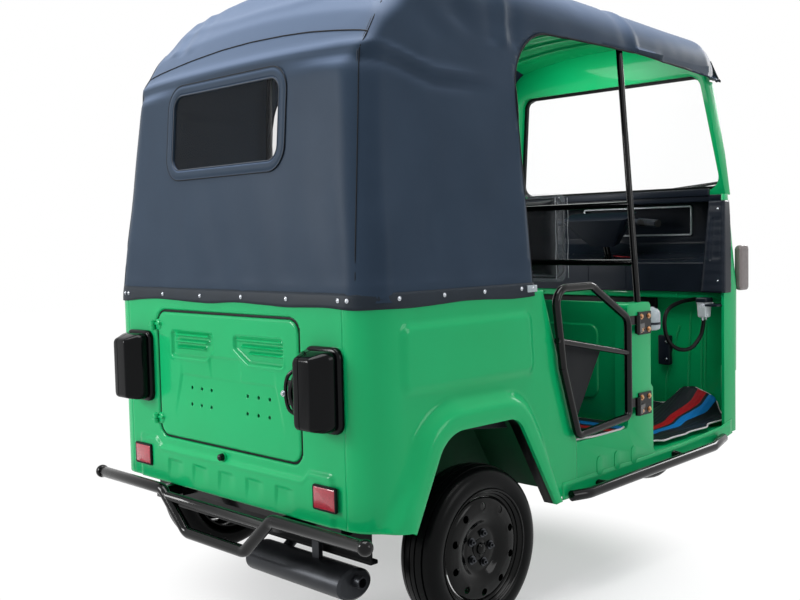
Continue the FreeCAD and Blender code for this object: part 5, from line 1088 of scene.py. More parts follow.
def onCloth(p, proud):
    hit, normal, index, far = clothTree.find_nearest(Vector(p))
    out = Vector((hit.x, min(0.0, hit.y + 0.6), max(0.0, hit.z - 1.5))).normalized()
    return hit + (normal if normal.dot(out) > 0 else -normal) * proud


def sewn(name, points, radius, finish, proud=0.0, cyclic=False):
    dense = []
    ends = points + points[:1] if cyclic else points
    for start, end in zip(ends, ends[1:]):
        steps = max(1, int((Vector(end) - Vector(start)).length / 0.02))
        dense += [Vector(start).lerp(Vector(end), i / steps) for i in range(steps)]
    if not cyclic:
        dense.append(Vector(points[-1]))
    return tubePiece(name, [onCloth(p, proud) for p in dense], radius, finish, "chassis", True,
                     cyclic, 2)


cornerSeam = [(0.585, -1.238, 0.964), (0.576, -1.224, 1.101), (0.568, -1.210, 1.231), (0.560, -1.195, 1.361),
              (0.552, -1.180, 1.493), (0.546, -1.170, 1.572), (0.543, -1.164, 1.630), (0.548, -1.154, 1.651),
              (0.547, -1.134, 1.683), (0.546, -1.110, 1.720), (0.537, -1.072, 1.767)]
crossSeam = [(-0.534, -1.138, 1.681), (-0.471, -1.138, 1.692), (-0.278, -1.138, 1.710), (-0.109, -1.138, 1.721),
             (0.033, -1.138, 1.723), (0.195, -1.138, 1.718), (0.313, -1.138, 1.711), (0.418, -1.138, 1.699),
             (0.482, -1.138, 1.690), (0.547, -1.138, 1.680)]
hoopSeam = [(0.575, -0.572, 1.70), (0.560, -0.572, 1.80), (0.520, -0.572, 1.88), (0.440, -0.572, 1.945),
            (0.25, -0.572, 1.98), (0.0, -0.572, 1.99), (-0.25, -0.572, 1.98), (-0.440, -0.572, 1.945),
            (-0.520, -0.572, 1.88), (-0.560, -0.572, 1.80), (-0.575, -0.572, 1.70)]


def makeSeams():
    for side in (-1, 1):
        label = sideName[side]
        line = [(side * x, y, z) for x, y, z in cornerSeam]
        sewn("cornerSeam" + label, line, 1.7 * mm, "binding")
        beside = [(side * (x - 7 * mm), y - 1 * mm, z) for x, y, z in cornerSeam]
        sewn("cornerStitch" + label, beside, 0.8 * mm, "thread")
        edge = [(side * 0.6, doorArch[0][0] - 2 * mm, 0.966), (side * 0.6, -0.580, 1.20), (side * 0.6, -0.580, 1.40),
                (side * 0.6, -0.580, 1.555)]
        for step in range(1, 10):
            a = math.pi - math.pi / 2 * step / 10
            edge.append((side * 0.58, -0.388 + 0.192 * math.cos(a), 1.562 + 0.192 * math.sin(a)))
        edge += [(side * 0.57, -0.385, 1.754), (side * 0.57, -0.1, 1.754), (side * 0.56, 0.12, 1.752),
                 (side * 0.54, 0.5, 1.738), (side * 0.50, 0.83, 1.723)]
        sewn("doorEdgeBinding" + label, edge, 3.6 * mm, "binding", 0.5 * mm)
    sewn("crossPiping", crossSeam, 2.2 * mm, "binding", 0.5 * mm)
    sewn("hoopSeam", hoopSeam, 2.0 * mm, "binding", 0.4 * mm)
    front = [(0.475, 0.833, 1.70), (0.48, 0.833, 1.74), (0.46, 0.833, 1.79), (0.40, 0.833, 1.82), (0.2, 0.833, 1.84),
             (0.0, 0.833, 1.85), (-0.2, 0.833, 1.84), (-0.40, 0.833, 1.82), (-0.46, 0.833, 1.79), (-0.48, 0.833, 1.74),
             (-0.475, 0.833, 1.70)]
    sewn("frontEdgeBinding", front, 4.0 * mm, "binding")


# The hem: a doubled tape round the foot of the canopy, with a lower edge that wanders, held by rivets
rivetSpots = [(-0.558, 0.965), (-0.535, 0.965), (-0.323, 0.967), (-0.112, 0.966), (0.100, 0.968), (0.311, 0.968),
              (0.530, 0.969), (0.562, 0.969)]
sideRivetsY = (-1.144, -0.972, -0.805, -0.639, -0.586)
hem = {"top": 0.988, "low": 0.948, "stand": 2.5 * mm, "rows": 5, "step": 8 * mm, "wall": 2.2 * mm}


def hemPlace(s):
    far = planLength(-578 * mm)
    place, out = planPoint(min(abs(s), far))
    outX = math.copysign(out.x, s) if out.x else 0.0
    return Vector((math.copysign(place.x, s), place.y, 0)), Vector((outX, out.y, 0))


def makeHem():
    far = planLength(-578 * mm)
    columns = round(2 * far / hem["step"])
    bm = bmesh.new()
    bmesh.ops.create_grid(bm, x_segments=columns, y_segments=hem["rows"], size=0.5)
    cornerS = body["seamX"] + 40 * mm
    for vert in bm.verts:
        s = vert.co.x * 2 * far
        up = vert.co.y + 0.5
        place, out = hemPlace(s)
        low = hem["low"] + 3 * mm * math.sin(s * 14.5) + 1.5 * mm * noise.noise(Vector((s * 9, 0, 0)))
        low -= 7 * mm * bell(abs(s), cornerS, 0.07)
        height = low + (hem["top"] - low) * up
        lean = (height - canopy["lowZ"]) * 0.085
        swell = 1.6 * mm * math.sin(math.pi * up) + 1.2 * mm * bell(up, 0.08, 0.12)
        pulled = 1.0 * mm * max(bell(s, x, 0.018) for x, z in rivetSpots)
        vert.co = place + out * (hem["stand"] + swell - lean - pulled) + zAxis * height
    faceOutward(bm)
    bm.faces.ensure_lookup_table()
    middle = min(bm.faces, key=lambda f: abs(f.calc_center_median().x) + abs(f.calc_center_median().z - 0.96))
    if middle.normal.y > 0:
        bmesh.ops.reverse_faces(bm, faces=bm.faces[:])
    addWall(newPiece("hemTape", bm, "hem", "chassis", 60), hem["wall"])
    bm = bmesh.new()
    for x, z in rivetSpots:
        s = x if abs(x) < body["seamX"] else math.copysign(body["seamX"] + (abs(x) - body["seamX"]) * 1.02, x)
        place, out = hemPlace(s)
        addRivet(bm, place + out * (hem["stand"] + 1.0 * mm) + zAxis * z, out)
    for side in (-1, 1):
        for y in sideRivetsY:
            place, out = hemPlace(side * planLength(y))
            addRivet(bm, place + out * (hem["stand"] + 1.0 * mm) + zAxis * 0.972, out)
    newPiece("hemRivets", bm, "zinc", "chassis")


def addRivet(bm, place, out):
    addRod(bm, place - out * 2 * mm, place + out * 0.9 * mm, 6.2 * mm, 20)
    addDome(bm, place + out * 0.7 * mm, out, 4.4 * mm, 3.0 * mm, 16)


# The rear window: a padded frame sewn to the cloth, a piped inner edge, and a clear sheet behind it
windowFrame = {"width": 24 * mm, "rise": 5.5 * mm}


def makeRearWindow():
    slope = Vector((0, leanY(1.6) - leanY(1.0), 0.6)).normalized()
    out = Vector((0, -slope.z, slope.y))

    def place(u, v, h):
        return Vector((u, leanY(v), v)) + out * h

    w = windowFrame
    bm = bmesh.new()
    ringSheet(bm, canopyWindow, [(w["width"], -1 * mm), (w["width"], 2.2 * mm), (w["width"] - 2 * mm, 3.6 * mm),
                                 (w["width"] - 4.5 * mm, 2.8 * mm), (w["width"] - 7 * mm, 4.2 * mm),
                                 (8 * mm, w["rise"]), (0, w["rise"] - 0.3 * mm), (-4 * mm, 4.4 * mm),
                                 (-5.5 * mm, 2.8 * mm), (-7 * mm, 4.0 * mm), (-9 * mm, 3.4 * mm), (-10 * mm, 0),
                                 (-10 * mm, -4 * mm), (0, -4 * mm)], place, closed=True)
    faceOutward(bm)
    newPiece("windowFramePad", bm, "vinyl", "chassis", 50)
    for name, offset, height, radius in (("windowFrameGroove", w["width"] - 0.5 * mm, 2.6 * mm, 1.7 * mm),
                                         ("windowLipPiping", -9.0 * mm, 3.4 * mm, 1.6 * mm)):
        points = [place(u, v, height) for u, v in ringPoints(canopyWindow, offset, 8)]
        finish = "binding" if offset > 0 else "thread"
        tubePiece(name, points, radius, finish, "chassis", False, True, 2)
    bm = bmesh.new()
    stations = [(-4 * mm, -3.0 * mm), (-4 * mm, -1.0 * mm)]
    ringSheet(bm, canopyWindow, stations, place, cap=True)
    bmesh.ops.contextual_create(bm, geom=[e for e in bm.edges if e.is_boundary])
    faceOutward(bm)
    pane = newPiece("windowSheet", bm, "sheet", "chassis")
    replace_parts(pane, "rear_window")


makeSeams()
makeHem()
makeRearWindow()
print("canopy trim is made")


# Wheels: each is turned about its axle, facing outwards along +X
wheel = {"steps": 96, "vents": 10, "ventCircle": 124 * mm, "ventRadius": 11 * mm, "nuts": 5, "nutCircle": 44 * mm,
         "right": (0.611, -0.841, 0.240), "left": (-0.611, -0.841, 0.240), "front": (0.0, 1.066, 0.240)}
tyreSection = [(57, 172.5), (61, 175), (64.6, 183), (65.8, 194), (65.2, 204), (62.6, 214), (58.5, 221), (52.5, 226.5),
               (45, 230), (36, 232.8), (35.2, 228.6), (31.4, 228.9), (30.6, 234.4), (20, 236.6), (11.6, 237.6),
               (11, 233.4), (7.4, 233.6), (6.8, 238.2), (0, 238.6)]
rimSection = [(54, 172), (58, 173.2), (61.5, 172.6), (62, 170), (60.4, 167.4), (56, 166.4), (53, 163.8), (52, 160.6),
              (49.6, 158.6), (45, 157.6), (43, 154.4), (42.4, 151), (40, 149), (34, 148), (20, 147), (-10, 146),
              (-40, 147), (-58, 152), (-58, 157), (-40, 152), (0, 151), (40, 156), (54, 168)]
discHeights = [(36, 26), (37.2, 30), (37.4, 56), (36.2, 62), (35.6, 66), (37.8, 71), (42, 76), (46, 82), (49.5, 90),
               (52, 99), (53.4, 108), (53, 122), (51.6, 136), (48.5, 144), (44, 148.5)]


def discHeight(r):
    for (x0, r0), (x1, r1) in zip(discHeights, discHeights[1:]):
        if r <= r1 * mm:
            return (x0 + (x1 - x0) * smooth(r0 * mm, r1 * mm, r)) * mm
    return discHeights[-1][0] * mm


def makeTyre(name, centre, carrier, node):
    bm = bmesh.new()
    half = [(r * mm, x * mm) for x, r in tyreSection]
    turnedPiece(bm, half + [(r, -x) for r, x in reversed(half[:-1])], centre, wheel["steps"])
    piece = newPiece(name, bm, "tyre", carrier, 42)
    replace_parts(piece, node)


def makeRim(name, centre, carrier, node, mirror):
    centre = Vector(centre)
    bm = bmesh.new()
    turnedPiece(bm, [(r * mm, x * mm) for x, r in rimSection] + [(172 * mm, 54 * mm)], (0, 0, 0), wheel["steps"])
    disc = bmesh.new()
    rings = 26
    verts = [disc.verts.new((26 * mm + (122.5 * mm) * i / rings, 0, 0)) for i in range(rings + 1)]
    edges = [disc.edges.new((verts[i], verts[i + 1])) for i in range(rings)]
    bmesh.ops.spin(disc, geom=verts + edges, cent=(0, 0, 0), axis=(0, 0, 1), dvec=(0, 0, 0), angle=math.tau,
                   steps=120, use_merge=True, use_duplicate=False)
    turns = [math.tau * i / wheel["vents"] for i in range(wheel["vents"])]
    spots = [(wheel["ventCircle"] * math.sin(a), wheel["ventCircle"] * math.cos(a)) for a in turns]

    def vents(u, v):
        return min(math.hypot(u - a, v - b) for a, b in spots) - wheel["ventRadius"]

    cutHole(disc, vents, 5 * mm)
    for vert in disc.verts:
        u, v = vert.co.x, vert.co.y
        rim = 1.6 * mm * bell(vents(u, v), 2.5 * mm, 2.5 * mm)
        vert.co = Vector((discHeight(math.hypot(u, v)) + rim, u, v))
    bmesh.ops.recalc_face_normals(disc, faces=disc.faces[:])
    disc.normal_update()
    bmesh.ops.solidify(disc, geom=disc.faces[:], thickness=3 * mm)
    spare = bpy.data.meshes.new("spare")
    disc.to_mesh(spare)
    disc.free()
    bm.from_mesh(spare)
    bpy.data.meshes.remove(spare)
    turnedPiece(bm, [(0.010, 30 * mm), (98 * mm, 30 * mm), (100 * mm, 27 * mm), (100 * mm, -36 * mm),
                     (96 * mm, -40 * mm), (0.020, -40 * mm)], (0, 0, 0), 64)
    turnedPiece(bm, [(0.0001, 52 * mm), (9 * mm, 51.4 * mm), (14 * mm, 49 * mm), (16.5 * mm, 45 * mm),
                     (17 * mm, 40 * mm), (22 * mm, 38 * mm), (26.5 * mm, 37.5 * mm), (27 * mm, 34 * mm)], (0, 0, 0), 40)
    if mirror < 0:
        bmesh.ops.rotate(bm, verts=bm.verts[:], matrix=Matrix.Rotation(math.pi, 3, "Z"))
    bmesh.ops.translate(bm, vec=centre, verts=bm.verts[:])
    faceOutward(bm)
    piece = newPiece(name, bm, "wheel", carrier, 34)
    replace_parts(piece, node)
    bm = bmesh.new()
    for index in range(wheel["nuts"]):
        a = math.tau * index / wheel["nuts"] + 0.3
        spot = Vector((mirror * 37 * mm, wheel["nutCircle"] * math.sin(a), wheel["nutCircle"] * math.cos(a))) + centre
        addBolt(bm, spot, (mirror, 0, 0), 8.6 * mm, 12 * mm)
        addRod(bm, spot, spot + Vector((mirror * 17 * mm, 0, 0)), 4.4 * mm, 12, 3.6 * mm)
    newPiece(name + "Nuts", bm, "nut", carrier, 30)


def makeWheels():
    for label, carrier, mirror in (("right", "rear_wheel_right", 1), ("left", "rear_wheel_left", -1)):
        makeTyre("tyreRear" + label.title(), wheel[label], carrier, "rear_tyre_" + label)
        makeRim("rimRear" + label.title(), wheel[label], carrier, "rear_rim_" + label, mirror)
    makeTyre("tyreFront", wheel["front"], "front_wheel", "front_tyre")
    makeRim("rimFront", wheel["front"], "front_wheel", "front_rim", 1)


makeWheels()
print("wheels are made")


# Pressed panels keep their modelled form with rolled edges
rolledEdges = (("side_panel_right", "green", 2.5), ("side_panel_left", "green", 2.5), ("cabin_floor", "green", 2.0),
               ("partition", "green", 3.0), ("front_cowl", "green", 3.0), ("windscreen_frame", "green", 3.0),
               ("seat_bases", "seat", 2.5), ("wheelhouses", "greenShade", 2.0), ("roof_panel", "green", 1.5),
               ("dashboard", "dash", 6.0), ("rear_bumper", "enamel", 1.0), ("side_steps", "enamel", 1.0),
               ("front_lamps", "amber", 3.0))  # node, finish and width in mm
for node, finish, width in rolledEdges:
    piece = roundedCopy(node, finish, width * mm, 3 if width > 2 else 2)
    if node == "side_steps":  # brackets sit low behind the tube
        for vert in piece.data.vertices:
            near = min(abs(vert.co.y + 0.25), abs(vert.co.y - 0.24))
            if near < 0.03 and abs(vert.co.x) < sideX(vert.co.y) + 26 * mm:
                vert.co.z -= 18 * mm
    if node == "seat_bases":  # the toe under the passenger seat slopes in one line with the side cover
        for vert in piece.data.vertices:
            limit = -0.340 + (vert.co.z - 0.519) * 0.66
            if -0.5 < vert.co.y < -0.15 and vert.co.y > limit:
                vert.co.y = limit
    if node == "front_lamps":  # the corner lamps are domed and stand close to the shoulder
        for vert in piece.data.vertices:
            if abs(vert.co.x) > 0.6:
                vert.co.x = math.copysign(0.6 + (abs(vert.co.x) - 0.6) * 0.35, vert.co.x)
        for finish in ("lamp", "silver"):
            piece.data.materials.append(finishes[finish])
        for face in piece.data.polygons:  # the headlamps have a clear lens in a bright rim
            if abs(face.center.x) < 0.5:
                face.material_index = 1 if face.normal.y > 0.8 else 2
print("body panels have rolled edges")


# Seats: foam pads in vinyl, swelled by a short cloth run with pressure inside, then sewn in at the channels
seats = {"cell": 11 * mm, "pressure": 4.0, "frames": 18, "cap": 14 * mm, "inset": 9 * mm,
         "pads": {
             "passengerCushion": {"low": (-0.585, -1.040, 0.691), "high": (0.585, -0.168, 0.805),
                                  "channels": ((0, -0.195), (0, 0.195)), "edge": 0.052,
                                  "slope": (0.805, 0.766, -0.45)},
             "passengerBack": {"low": (-0.585, -1.150, 0.806), "high": (0.585, -1.055, 1.300),
                               "channels": ((0, -0.195), (0, 0.195)), "edge": 0.046},
             "driverCushion": {"low": (-0.250, 0.061, 0.6905), "high": (0.250, 0.450, 0.795),
                               "channels": ((1, 0.36),), "edge": 0.045},
             "driverBack": {"low": (-0.250, 0.064, 0.955), "high": (0.250, 0.133, 1.275),
                            "channels": ((2, 1.20),), "edge": 0.03}}}


def swellPad(piece):
    rest = [v.co.copy() for v in piece.data.vertices]
    cloth = piece.modifiers.new("vinyl", "CLOTH")
    for key, value in (("quality", 5), ("mass", 0.35), ("tension_stiffness", 18), ("compression_stiffness", 18),
                       ("bending_stiffness", 1.2), ("use_pressure", True),
                       ("uniform_pressure_force", seats["pressure"])):
        setattr(cloth.settings, key, value)
    cloth.settings.effector_weights.gravity = 0
    cloth.collision_settings.use_collision = False
    cloth.point_cache.frame_start = 1
    cloth.point_cache.frame_end = seats["frames"]
    for step in range(1, seats["frames"] + 1):
        scene.frame_set(step)
    applyModifiers(piece)
    scene.frame_set(1)
    for vert, start in zip(piece.data.vertices, rest):
        move = vert.co - start
        if move.length > seats["cap"]:
            vert.co = start + move.normalized() * seats["cap"]


def makePad(name, facts):
    low, high = Vector(facts["low"]), Vector(facts["high"])
    inset = Vector((seats["inset"],) * 3)
    bm = bmesh.new()
    addBlock(bm, low + inset, high - inset, facts["edge"] * 0.45, 4)
    piece = newPiece(name, bm, "seat", "chassis", 60)
    grid = piece.modifiers.new("grid", "REMESH")
    grid.mode = "VOXEL"
    grid.voxel_size = seats["cell"]
    grid.use_smooth_shade = True
    applyModifiers(piece)
    swellPad(piece)
    finer = piece.modifiers.new("finer", "SUBSURF")
    finer.levels = finer.render_levels = 1
    applyModifiers(piece)
    middle = (low + high) / 2
    size = high - low
    thin = min(range(3), key=lambda i: size[i])
    for vert in piece.data.vertices:
        p = vert.co
        for axis, level in facts["channels"]:
            dip = 6 * mm * bell(p[axis], level, 5 * mm) + 3 * mm * bell(p[axis], level, 22 * mm)
            p[thin] += math.copysign(dip, (middle - p)[thin])
        p += zAxis * 1.2 * mm * noise.noise(p * 14)
        if "slope" in facts:  # the front falls away under the knees
            rearZ, frontZ, startY = facts["slope"]
            topZ = rearZ + (frontZ - rearZ) * smooth(startY, high.y, p.y)
            p.z = min(p.z, topZ)
            p.y = min(p.y, high.y - (topZ - p.z) * 0.62 if p.y > startY else p.y)
        for axis in range(3):
            p[axis] = min(high[axis], max(low[axis], p[axis]))
    piece.data.materials.clear()
    piece.data.materials.append(finishes["seat"])
    for face in piece.data.polygons:
        face.use_smooth = True
    return piece


def pipedEdge(name, corners, place, radius=3.5 * mm):
    return tubePiece(name, [place(u, v) for u, v in ringPoints(corners, 0, 6)], radius, "seat", "chassis",
                     False, True, 2)


def makeSeats():
    made = {name: makePad(name, facts) for name, facts in seats["pads"].items()}
    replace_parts(made["passengerCushion"], "passenger_seat")
    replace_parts(made["driverCushion"], "driver_seat")
    bm = bmesh.new()
    for side in (-1, 1):  # vinyl side covers, one long wedge with the base
        flat = bmesh.ops.create_circle(bm, cap_ends=True, segments=5, radius=1)["verts"]
        wedge = ((-1.03, 0.60), (-0.335, 0.520), (-0.178, 0.760), (-0.45, 0.803), (-1.03, 0.803))
        for vert, (y, z) in zip(flat, wedge):
            vert.co = Vector((side * 0.592, y, z))
        faces = [f for f in bm.faces if all(v in flat for v in f.verts)]
        grown = bmesh.ops.extrude_face_region(bm, geom=faces)["geom"]
        bmesh.ops.translate(bm, vec=(side * 27 * mm, 0, 0), verts=vertsOf(grown))
    faceOutward(bm)
    bevelEdges(bm, bm.edges[:], 4 * mm)
    newPiece("seatSideCovers", bm, "seat", "chassis", 50)
    pipedEdge("driverCushionPiping", rectangleCorners(-0.239, 0.239, 0.072, 0.439, 0.04),
              lambda u, v: Vector((u, v, 0.781)))
    pipedEdge("driverBackPiping", rectangleCorners(-0.240, 0.240, 0.967, 1.263, 0.035),
              lambda u, v: Vector((u, 0.125, v)))


makeSeats()
print("seats are made")


# Clear wrapping still on the driver's backrest, loose and creased
film = {"low": Vector((-0.255, 0.060, 0.948)), "high": Vector((0.255, 0.140, 1.281)), "corner": 0.03,
        "flatWidth": 0.60, "used": 0.94, "foldX": 0.253, "foldY": (0.064, 0.138)}


def makeFilm():
    bm = bmesh.new()
    low, high = film["low"], film["high"]
    addBlock(bm, low, high, film["corner"], 4)
    bmesh.ops.delete(bm, geom=[f for f in bm.faces if f.normal.z < -0.9], context="FACES")
    for axis, parts in ((xAxis, 42), (zAxis, 28)):
        for step in range(1, parts):
            bmesh.ops.bisect_plane(bm, geom=bm.verts[:] + bm.edges[:] + bm.faces[:],
                                   plane_co=low.lerp(high, step / parts), plane_no=axis)
    bm.normal_update()
    for vert in bm.verts:
        p = vert.co
        crease = noise.noise(Vector((p.x * 16 + p.z * 7, p.y * 20, p.z * 9)))
        fine = noise.noise(Vector((p.x * 46 - p.z * 20, p.y * 40, p.z * 30 + p.x * 10)))
        vert.co += vert.normal * (3.2 * mm * abs(crease) + 1.4 * mm * fine)
    piece = newPiece("backrestFilm", bm, "film", "chassis", 80)
    bm = bmesh.new()
    for x in (-film["foldX"], film["foldX"]):
        for y in film["foldY"]:
            line = [Vector((x + 1.5 * mm * math.sin(i * 1.3), y, 0.965 + 0.3 * i / 14)) for i in range(15)]
            for start, end in zip(line, line[1:]):
                addRod(bm, start, end, 0.9 * mm, 6)
    newPiece("filmFoldedEdges", bm, "white", "chassis", 60)


makeFilm()


# Dashboard: a silver frame round the panel, seams, end pod, screws, and the black sill under the glass
dash = {"frame": (-0.213, 0.334, 1.111, 1.238), "faceY": 0.900, "seamX": (-0.069, 0.122), "ribX": (-0.32, 0.02, 0.36),
        "screws": ((-0.241, 0.853, 1.0365), (-0.050, 0.822, 1.029), (0.130, 0.843, 1.034), (0.258, 0.853, 1.0365))}


def makeDash():
    lowX, highX, lowZ, highZ = dash["frame"]
    bm = bmesh.new()
    ringSheet(bm, rectangleCorners(lowX, highX, lowZ, highZ, 12 * mm),
              [(0, -0.5 * mm), (0, 2.5 * mm), (-1.5 * mm, 4 * mm), (-6.5 * mm, 4 * mm), (-8 * mm, 2.5 * mm),
               (-8 * mm, -0.5 * mm)], lambda u, v, h: Vector((u, dash["faceY"] - h, v)), closed=True)
    faceOutward(bm)
    newPiece("dashPanelFrame", bm, "silver", "chassis", 40)
    bm = bmesh.new()
    addBlock(bm, (-0.350, 0.8985, 1.106), (lowX - 1 * mm, 0.92, 1.240), 3 * mm)
    addBlock(bm, (-0.556, 0.738, 1.245), (0.556, 0.775, 1.272), 5 * mm, 3)
    addBlock(bm, (-0.500, 0.731, 1.268), (0.500, 0.748, 1.296), 3 * mm, 3)
    for x in dash["seamX"]:
        addBlock(bm, (x - 1.6 * mm, 0.7195, 0.892), (x + 1.6 * mm, 0.7235, 0.994), 1.2 * mm, 2)
    newPiece("dashTrim", bm, "dash", "chassis", 36)
    bm = bmesh.new()
    for x in dash["seamX"]:
        addRod(bm, (x, 0.7225, 0.893), (x, 0.7225, 0.992), 1.2 * mm, 8)
    newPiece("dashSeams", bm, "rubber", "chassis", 36)
    bm = bmesh.new()
    for place in dash["screws"]:
        addDome(bm, place, (0, -0.24, 1), 5 * mm, 3 * mm, 14)
    newPiece("dashScrews", bm, "zinc", "chassis", 40)
    # tray lip: a raised bead round the flat of the tray
    points = [(-0.43, 0.752, 1.0125), (0.30, 0.752, 1.0125), (0.40, 0.775, 1.018), (0.425, 0.82, 1.028),
              (0.40, 0.862, 1.038), (0.30, 0.874, 1.040), (-0.43, 0.874, 1.040)]
    tubePiece("trayBead", points, 3.2 * mm, "dash", "chassis")
    bm = bmesh.new()
    addBlock(bm, (-0.560, 0.732, 0.858), (0.560, 0.768, 0.8855), 5 * mm, 3)
    for x in dash["ribX"]:
        addBolt(bm, (x, 0.732, 0.872), (0, -1, 0), 5 * mm, 5 * mm)
    addBlock(bm, (-0.556, 0.7860, 0.385), (0.556, 0.7885, 0.860), 0.8 * mm)
    newPiece("dashBeam", bm, "green", "chassis", 36)
    # Painted shade: a dark panel laid across the upper toe board, short of the pot, for the shade under the dash
    bm = bmesh.new()
    addBlock(bm, (-0.53, 0.768, 0.745), (0.24, 0.785, 0.857), 6 * mm, 3)
    newPiece("toeBoardShadePanel", bm, "rubber", "chassis", 36)


makeDash()


# Black end covers of the dash wrap the front posts, with a sunk field and two screws each
cover = {"lowZ": 0.890, "highZ": 1.247, "field": (1.014, 1.182), "screwZ": (0.934, 1.214), "proud": 4 * mm,
         "rows": 44, "columns": 26, "stops": (0, 0.2, 0.66, 0.72, 1), "wrap": 50 * mm, "sink": 3 * mm, "wall": 3 * mm}


def makeEndCovers():
    skin = surfaceOf("front_cowl")

    def outerX(y, z):
        hit = skin.ray_cast(Vector((0.9, y, z)), -xAxis, 0.4)[0]
        return hit.x if hit else 0.6

    def postRear(z):  # the first place, going forward, where the post is met
        return next((y for y in (0.64 + 0.002 * step for step in range(45))
                     if skin.ray_cast(Vector((0.9, y, z)), -xAxis, 0.45)[0] is not None), 0.71)

    rows, stops = cover["rows"], cover["stops"]
    bm = bmesh.new()
    bmesh.ops.create_grid(bm, x_segments=cover["columns"], y_segments=rows, size=0.5)
    heights = {}
    for vert in bm.verts:
        across, up = vert.co.x + 0.5, vert.co.y + 0.5
        z = cover["lowZ"] + (cover["highZ"] - cover["lowZ"]) * up
        level = round(up * rows)
        if level not in heights:
            rear = postRear(z)
            heights[level] = (rear, outerX(rear + 6 * mm, z), outerX(rear + cover["wrap"], z))
        rear, edgeX, farX = heights[level]
        proud = cover["proud"]
        section = [Vector((x, y, z)) for x, y in (
            (0.514, 0.738), (0.520, rear - 2 * mm), (edgeX + 2 * mm, rear - 8 * mm),
            (edgeX + proud + 2 * mm, rear - 5 * mm), (farX + proud, rear + cover["wrap"]))]
        index = max(i for i in range(4) if across >= stops[i] - 1e-6)
        share = (across - stops[index]) / (stops[index + 1] - stops[index])
        low, high = cover["field"]
        sunk = smooth(low, low + 8 * mm, z) * (1 - smooth(high - 8 * mm, high, z))
        sunk *= smooth(0.34, 0.38, across) * (1 - smooth(0.58, 0.61, across))
        vert.co = section[index].lerp(section[index + 1], share) + yAxis * cover["sink"] * sunk
    addMirror(bm)
    for face in bm.faces:
        face.normal_update()
        if face.normal.x * face.calc_center_median().x < 0 or face.normal.y > 0.7:
            face.normal_flip()
    addWall(newPiece("dashEndCovers", bm, "dash", "chassis", 60), cover["wall"])
    bm = bmesh.new()
    for side in (-1, 1):
        for z in cover["screwZ"]:
            rear = postRear(z)
            spotX = outerX(rear + 6 * mm, z) - 22 * mm
            addDome(bm, (side * spotX, rear - 7.5 * mm, z), (0, -1, 0), 5.5 * mm, 4 * mm, 14)
    newPiece("endCoverScrews", bm, "zinc", "chassis", 40)


makeEndCovers()


# A smooth line through points, and the length of such a line
def throughPoints(points, steps):
    ends = [points[0]] + list(points) + [points[-1]]
    line = []
    for a, b, c, d in zip(ends, ends[1:], ends[2:], ends[3:]):
        for i in range(steps):
            t = i / steps
            line.append(0.5 * ((2 * b) + (c - a) * t + (2 * a - 5 * b + 4 * c - d) * t * t
                               + (3 * b - a - 3 * c + d) * t * t * t))
    line.append(points[-1].copy())
    return line


# Two short red wires run from the column to the dash
def makeWires():
    for index, (x0, x1) in enumerate(((0.010, 0.085), (0.020, 0.100))):
        points = [Vector((x0, 0.800, 1.022)), Vector((x0 + 0.01, 0.785, 1.030)), Vector((x0 + 0.03, 0.772, 1.028)),
                  Vector((x1 - 0.015, 0.768, 1.026)), Vector((x1, 0.780, 1.024)), Vector((x1 + 0.012, 0.80, 1.024))]
        points = [p + Vector((0, 0.004 * index, 0)) for p in points]
        line = throughPoints(points, 5)
        piece = tubePiece("redWire" + str(index + 1), line, 1.8 * mm, "wire", "chassis", False)


makeWires()


# Steering head: the cowled handlebar with ringed twist grips and hand levers
grip = {"start": (0.236, 0.657, 1.1705), "end": (0.343, 0.6215, 1.1628), "radius": 15 * mm, "ringRadius": 15.8 * mm,
        "rings": 7, "ringHalf": 2.5 * mm, "leverRadius": 5 * mm,
        "lever": ((0.205, 0.680, 1.172), (0.225, 0.694, 1.168), (0.27, 0.690, 1.164), (0.325, 0.668, 1.160))}


def makeHandlebar():
    roundedCopy("handlebar", "dash", 5 * mm, 3, 30)
    bm = bmesh.new()
    for side in (-1, 1):
        start, end = (Vector((side * x, y, z)) for x, y, z in (grip["start"], grip["end"]))
        addRod(bm, start, end, grip["radius"], 24)
        along = (end - start).normalized() * grip["ringHalf"]
        for i in range(grip["rings"]):
            spot = start.lerp(end, 0.12 + i * 0.12)
            addRod(bm, spot - along, spot + along, grip["ringRadius"], 24)
    newPiece("twistGrips", bm, "rubber", "steering", 50)
    for side in (-1, 1):
        lever = [(side * x, y, z) for x, y, z in grip["lever"]]
        tubePiece("lever" + sideName[side], lever, grip["leverRadius"], "enamel", "steering")


makeHandlebar()


# Front post fittings: the fluid pot with its cap, bracket and hose
pot = {"plan": (0.512, 0.556, 0.612, 0.662), "capPlan": (0.509, 0.559, 0.609, 0.665), "corner": 9 * mm,
       "rings": ((-9 * mm, 0.793), (-5 * mm, 0.796), (-4 * mm, 0.800), (-0.5 * mm, 0.846), (1.5 * mm, 0.848),
                 (1.5 * mm, 0.853), (-2 * mm, 0.854)),
       "capRings": ((0, 0.853), (0, 0.866), (-3 * mm, 0.870), (-8 * mm, 0.870)),
       "bracket": ((0.556, 0.600, 0.838), (0.607, 0.674, 0.846)), "bracketZ": 0.842, "boltY": (0.598, 0.676),
       "spoutY": (0.624, 0.650), "spoutX": 0.534, "spoutZ": (0.797, 0.782),
       "hose": ((0.534, 0.634, 0.784), (0.530, 0.632, 0.752), (0.525, 0.622, 0.718), (0.510, 0.584, 0.678),
                (0.490, 0.540, 0.672), (0.472, 0.500, 0.693), (0.458, 0.482, 0.735), (0.450, 0.486, 0.790),
                (0.448, 0.520, 0.830), (0.446, 0.600, 0.850), (0.444, 0.700, 0.856), (0.443, 0.752, 0.857))}


